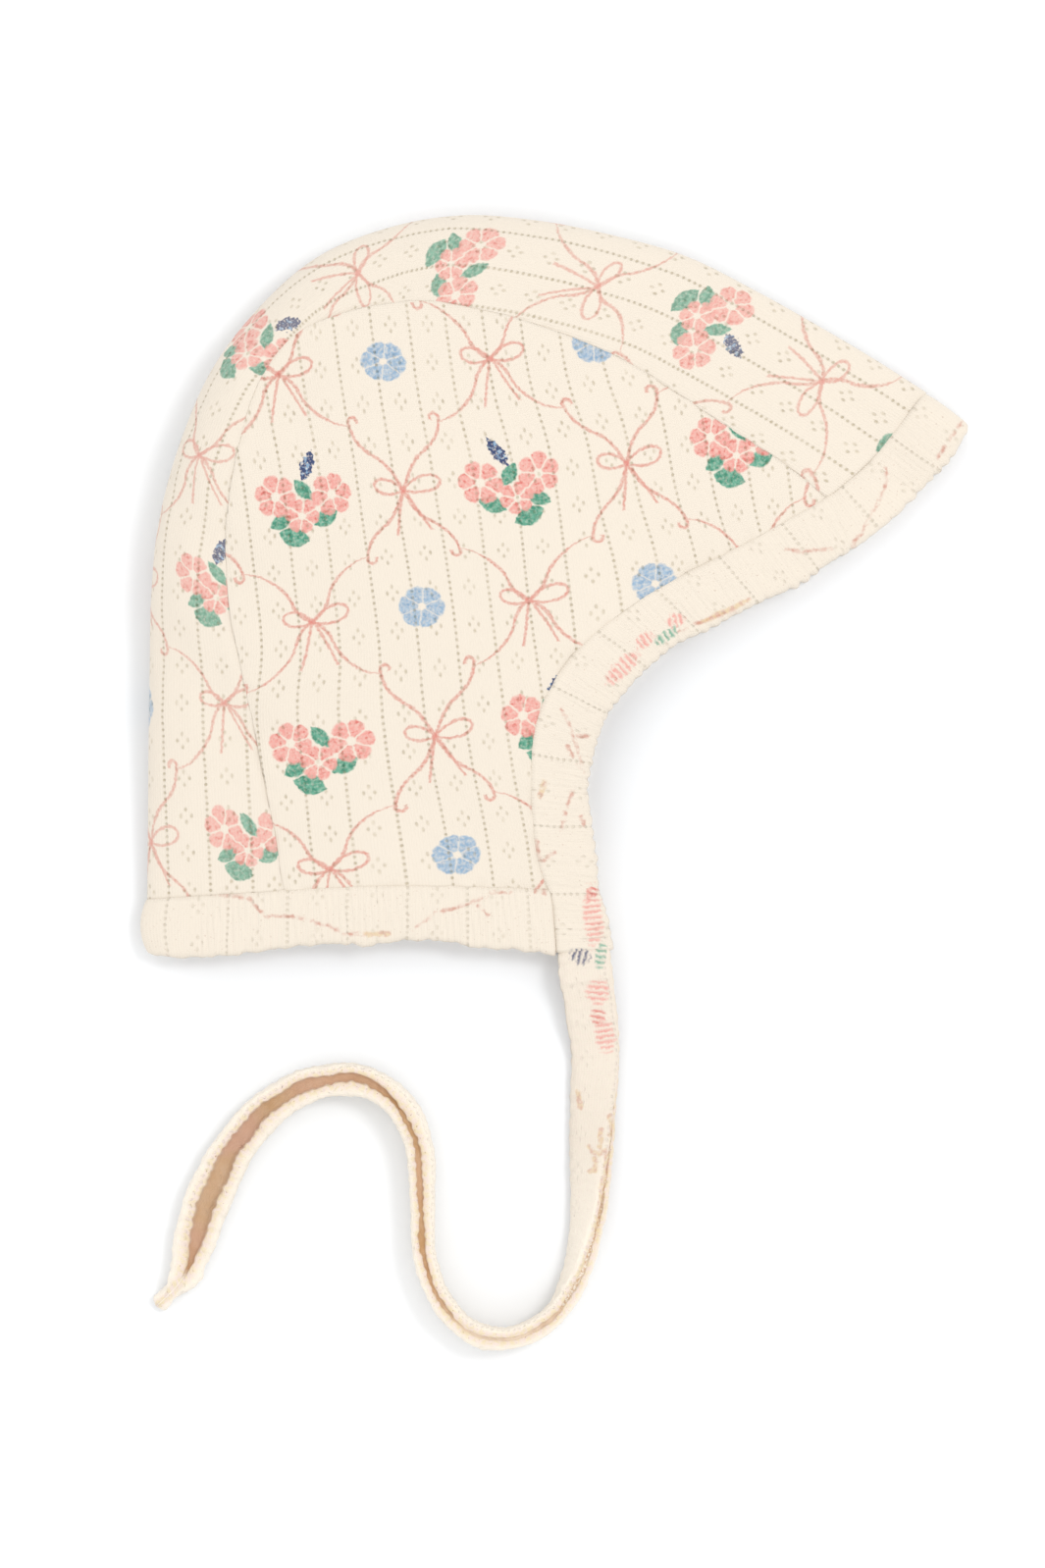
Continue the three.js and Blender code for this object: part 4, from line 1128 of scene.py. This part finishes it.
def visible_tie():
    """The tape from the chin to its knotted end, rolling from flat to standing on edge."""
    total, share = ruler(TIE_ROWS)
    rings, tones, knits, plans = [], [], [], []
    inside, rim = (smooth_ring(v[:, None], 2)[:, 0] for v in (TROUGH, TIE_RIM))
    for along in total * np.arange(TIE_STATIONS + 1) / TIE_STATIONS:
        t = float(share(along))
        x, y, lift, roll, width, slit_from, slit_to, depth, under = at(TIE_ROWS, t)
        slit_to = max(slit_to, slit_from + SLIT_LEAST)
        under = min(under, depth - 0.15)
        heading = heading_at(TIE_ROWS, t)[:2]
        heading /= np.linalg.norm(heading)
        left = np.array([-heading[1], heading[0], 0])
        open_share = min(max((slit_to - slit_from - SLIT_SHOWS_FROM) / SLIT_SHOWS_WITHIN, 0), 1)
        ragged = ripple(along * np.ones(3), np.array([0, 40, 80]), TIE_EDGE_WAVES)
        ring = smooth_ring(tape_profile(
            width + ragged[0], slit_from + ragged[1] * open_share, slit_to + ragged[2] * open_share,
            depth + ragged[2] * 0.8, under), 2)
        roll = math.radians(min(max(roll, 0), 90))
        a = ring[:, 1] * math.cos(roll) - ring[:, 0] * math.sin(roll)
        b = ring[:, 1] * math.sin(roll) + ring[:, 0] * math.cos(roll)
        a, b, high = a - (a.min() + a.max()) / 2, b - b.mean(), b - b.min()
        point = np.array([x, y, 0]) + a[:, None] * left
        point[:, 2] = high + max(lift, 0)
        past_knob = along - total + KNOB_BEFORE_END
        knob = math.exp(-((past_knob / KNOB_REACH) ** 2))
        tail = np.clip(past_knob / TAIL_REACH, 0, 1)
        bump = ripple(point[:, 0] + point[:, 2], point[:, 1], TIE_WAVES)
        bump = bump + KNOB_PUSH * knob * np.clip(a / width * 2, 0, 1) ** 2
        bump = bump + TAIL_SWELL * tail * np.sin(2 * np.arctan2(b, a) + along * TAIL_TWIST)
        outward = np.stack([a, b], 1)
        outward /= np.maximum(np.linalg.norm(outward, axis=1, keepdims=True), 1e-6)
        point += (outward[:, :1] * left + outward[:, 1:] * [0, 0, 1]) * bump[:, None]
        end = math.sqrt(max(1 - (max(along - total + TIE_TIP, 0) / TIE_TIP) ** 2, 0.02))
        core = np.array([x, y, max(lift, 0) + high.max() * 0.5])
        point = core + (point - core) * end
        point[:, 2] = np.maximum(point[:, 2], 0.02)
        rings.append(point)
        # The tone attribute carries where the fold's painted shade goes, how much deeper it is painted where
        # the slit is narrow, and the rims
        narrow = 1 - min(max((slit_to - slit_from) / SLIT_WIDE, 0), 1)
        flat = np.zeros(len(ring))
        tones.append(np.stack([inside * open_share, flat + narrow, rim], 1))
        around = np.cumsum(np.linalg.norm(np.diff(ring, axis=0, prepend=ring[:1]), axis=1))
        knits.append(np.stack([around + 3, flat + along, flat], 1))
        plans.append(np.where(point[:, 2:] > TIE_SCRAPS_FROM, point, FAR_OFF))
    return add_sweep("tie_right_tape", np.array(rings), {
        "tone": np.array(tones), "knit_mm": np.array(knits), "plan_mm": np.array(plans)}, [TIE])


def hidden_tie():
    """The second tape, doubled back at the chin and laid inside."""
    w, h = HIDDEN_TIE_WIDTH / 2, HIDDEN_TIE_THICK / 2
    side, flat = 0.5 * h, w - 0.6 * h
    profile = smooth_ring(np.array([
        (w, -side), (w, side), (flat, h), (-flat, h), (-w, side), (-w, -side), (-flat, -h), (flat, -h),
    ]), 1)
    across = np.array([1.0, 0, 0])
    rings, knits = [], []
    total, _ = ruler(HIDDEN_TIE_ROWS)
    for t in np.arange(HIDDEN_TIE_STATIONS + 1) / HIDDEN_TIE_STATIONS:
        here = at(HIDDEN_TIE_ROWS, t)
        heading = heading_at(HIDDEN_TIE_ROWS, t)
        heading /= np.linalg.norm(heading)
        across = across - across.dot(heading) * heading
        across /= np.linalg.norm(across)
        up = np.cross(heading, across)
        rings.append(here + profile[:, :1] * across + profile[:, 1:] * up)
        knits.append(np.insert(profile[:, :1] * [1, 0], 1, total * t, axis=1))
    knits = np.array(knits)
    return add_sweep("tie_left_tape", np.array(rings), {
        "tone": knits * 0, "knit_mm": knits, "plan_mm": knits * 0 + FAR_OFF}, [TIE])


right = side_panel("side_panel_right_cloth", True, PANEL_CELLS)
left = side_panel("side_panel_left_cloth", False, FLOOR_PANEL_CELLS)
centre = centre_panel()
hem = band("neck_hem_cloth", HEM_ROWS, NAPE_FOLD, NAPE_BULGE, HEM_FIRST_LINE, HEM, True, HEM_SCALLOP)
binding = band(
    "face_binding_cloth", FACE_ROWS, TIP_FOLD, 0, BINDING_FIRST_LINE, BINDING, False, BINDING_SCALLOP)
tie = visible_tie()
spare_tie = hidden_tie()

for piece, node, slot in (
    (right, "side_panel_right", "panel_knit"), (left, "side_panel_left", "panel_knit"),
    (centre, "centre_panel", "panel_knit"), (hem, "neck_hem", "band_knit"),
    (binding, "face_binding", "band_knit"), (tie, "tie_right", "tie_knit"),
    (spare_tie, "tie_left", "tie_knit"),
):
    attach(piece, "root")
    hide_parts(node)

# Floor, light and camera
CENTRE_X, CENTRE_Y = 26.25, -41.8
FRAME_HEIGHT = 372.8
CAMERA_LENS = 200
SENSOR = 36
PLANE_Z = 6
FLOOR_HALF = 6000
FLOOR_COLOR = (0.772, 0.782, 0.794, 1)
SKY_STRENGTH = 1.28
LIGHT_TARGET = (0.03, -0.04, 0)

floor_material, _, floor_shader = material("floor_paper")
floor_shader.inputs["Base Color"].default_value = FLOOR_COLOR
floor_shader.inputs["Sheen Weight"].default_value = 0
corners = np.array([(-1, -1, 0), (1, -1, 0), (1, 1, 0), (-1, 1, 0)]) * FLOOR_HALF
floor = add_mesh("floor", corners, [(0, 1, 2, 3)], {}, [floor_material])

world = bpy.data.worlds.new("studio")
scene.world = world
world.use_nodes = True
world.node_tree.nodes["Background"].inputs[0].default_value = (1, 1, 1, 1)
world.node_tree.nodes["Background"].inputs[1].default_value = SKY_STRENGTH


def area_light(name, place, size, power):
    data = bpy.data.lights.new(name, "AREA")
    data.shape = "DISK"
    data.size = size
    data.energy = power
    lamp = bpy.data.objects.new(name, data)
    lamp.location = place
    toward = Vector(LIGHT_TARGET) - Vector(place)
    lamp.rotation_euler = toward.to_track_quat("-Z", "Y").to_euler()
    scene.collection.objects.link(lamp)


area_light("key", (0.95, 0.42, 1.9), 0.6, 11)
area_light("fill", (-1.2, -0.25, 0.45), 0.5, 1.2)

camera_data = bpy.data.cameras.new("camera")
camera_data.sensor_fit = "VERTICAL"
camera_data.sensor_height = SENSOR
camera_data.lens = CAMERA_LENS
camera_data.clip_end = 20
camera = bpy.data.objects.new("camera", camera_data)
camera.location = (
    CENTRE_X * MM, CENTRE_Y * MM, (PLANE_Z + FRAME_HEIGHT * CAMERA_LENS / SENSOR) * MM)
scene.collection.objects.link(camera)
bpy.context.scene.camera = camera
scene.view_settings.view_transform = "Standard"
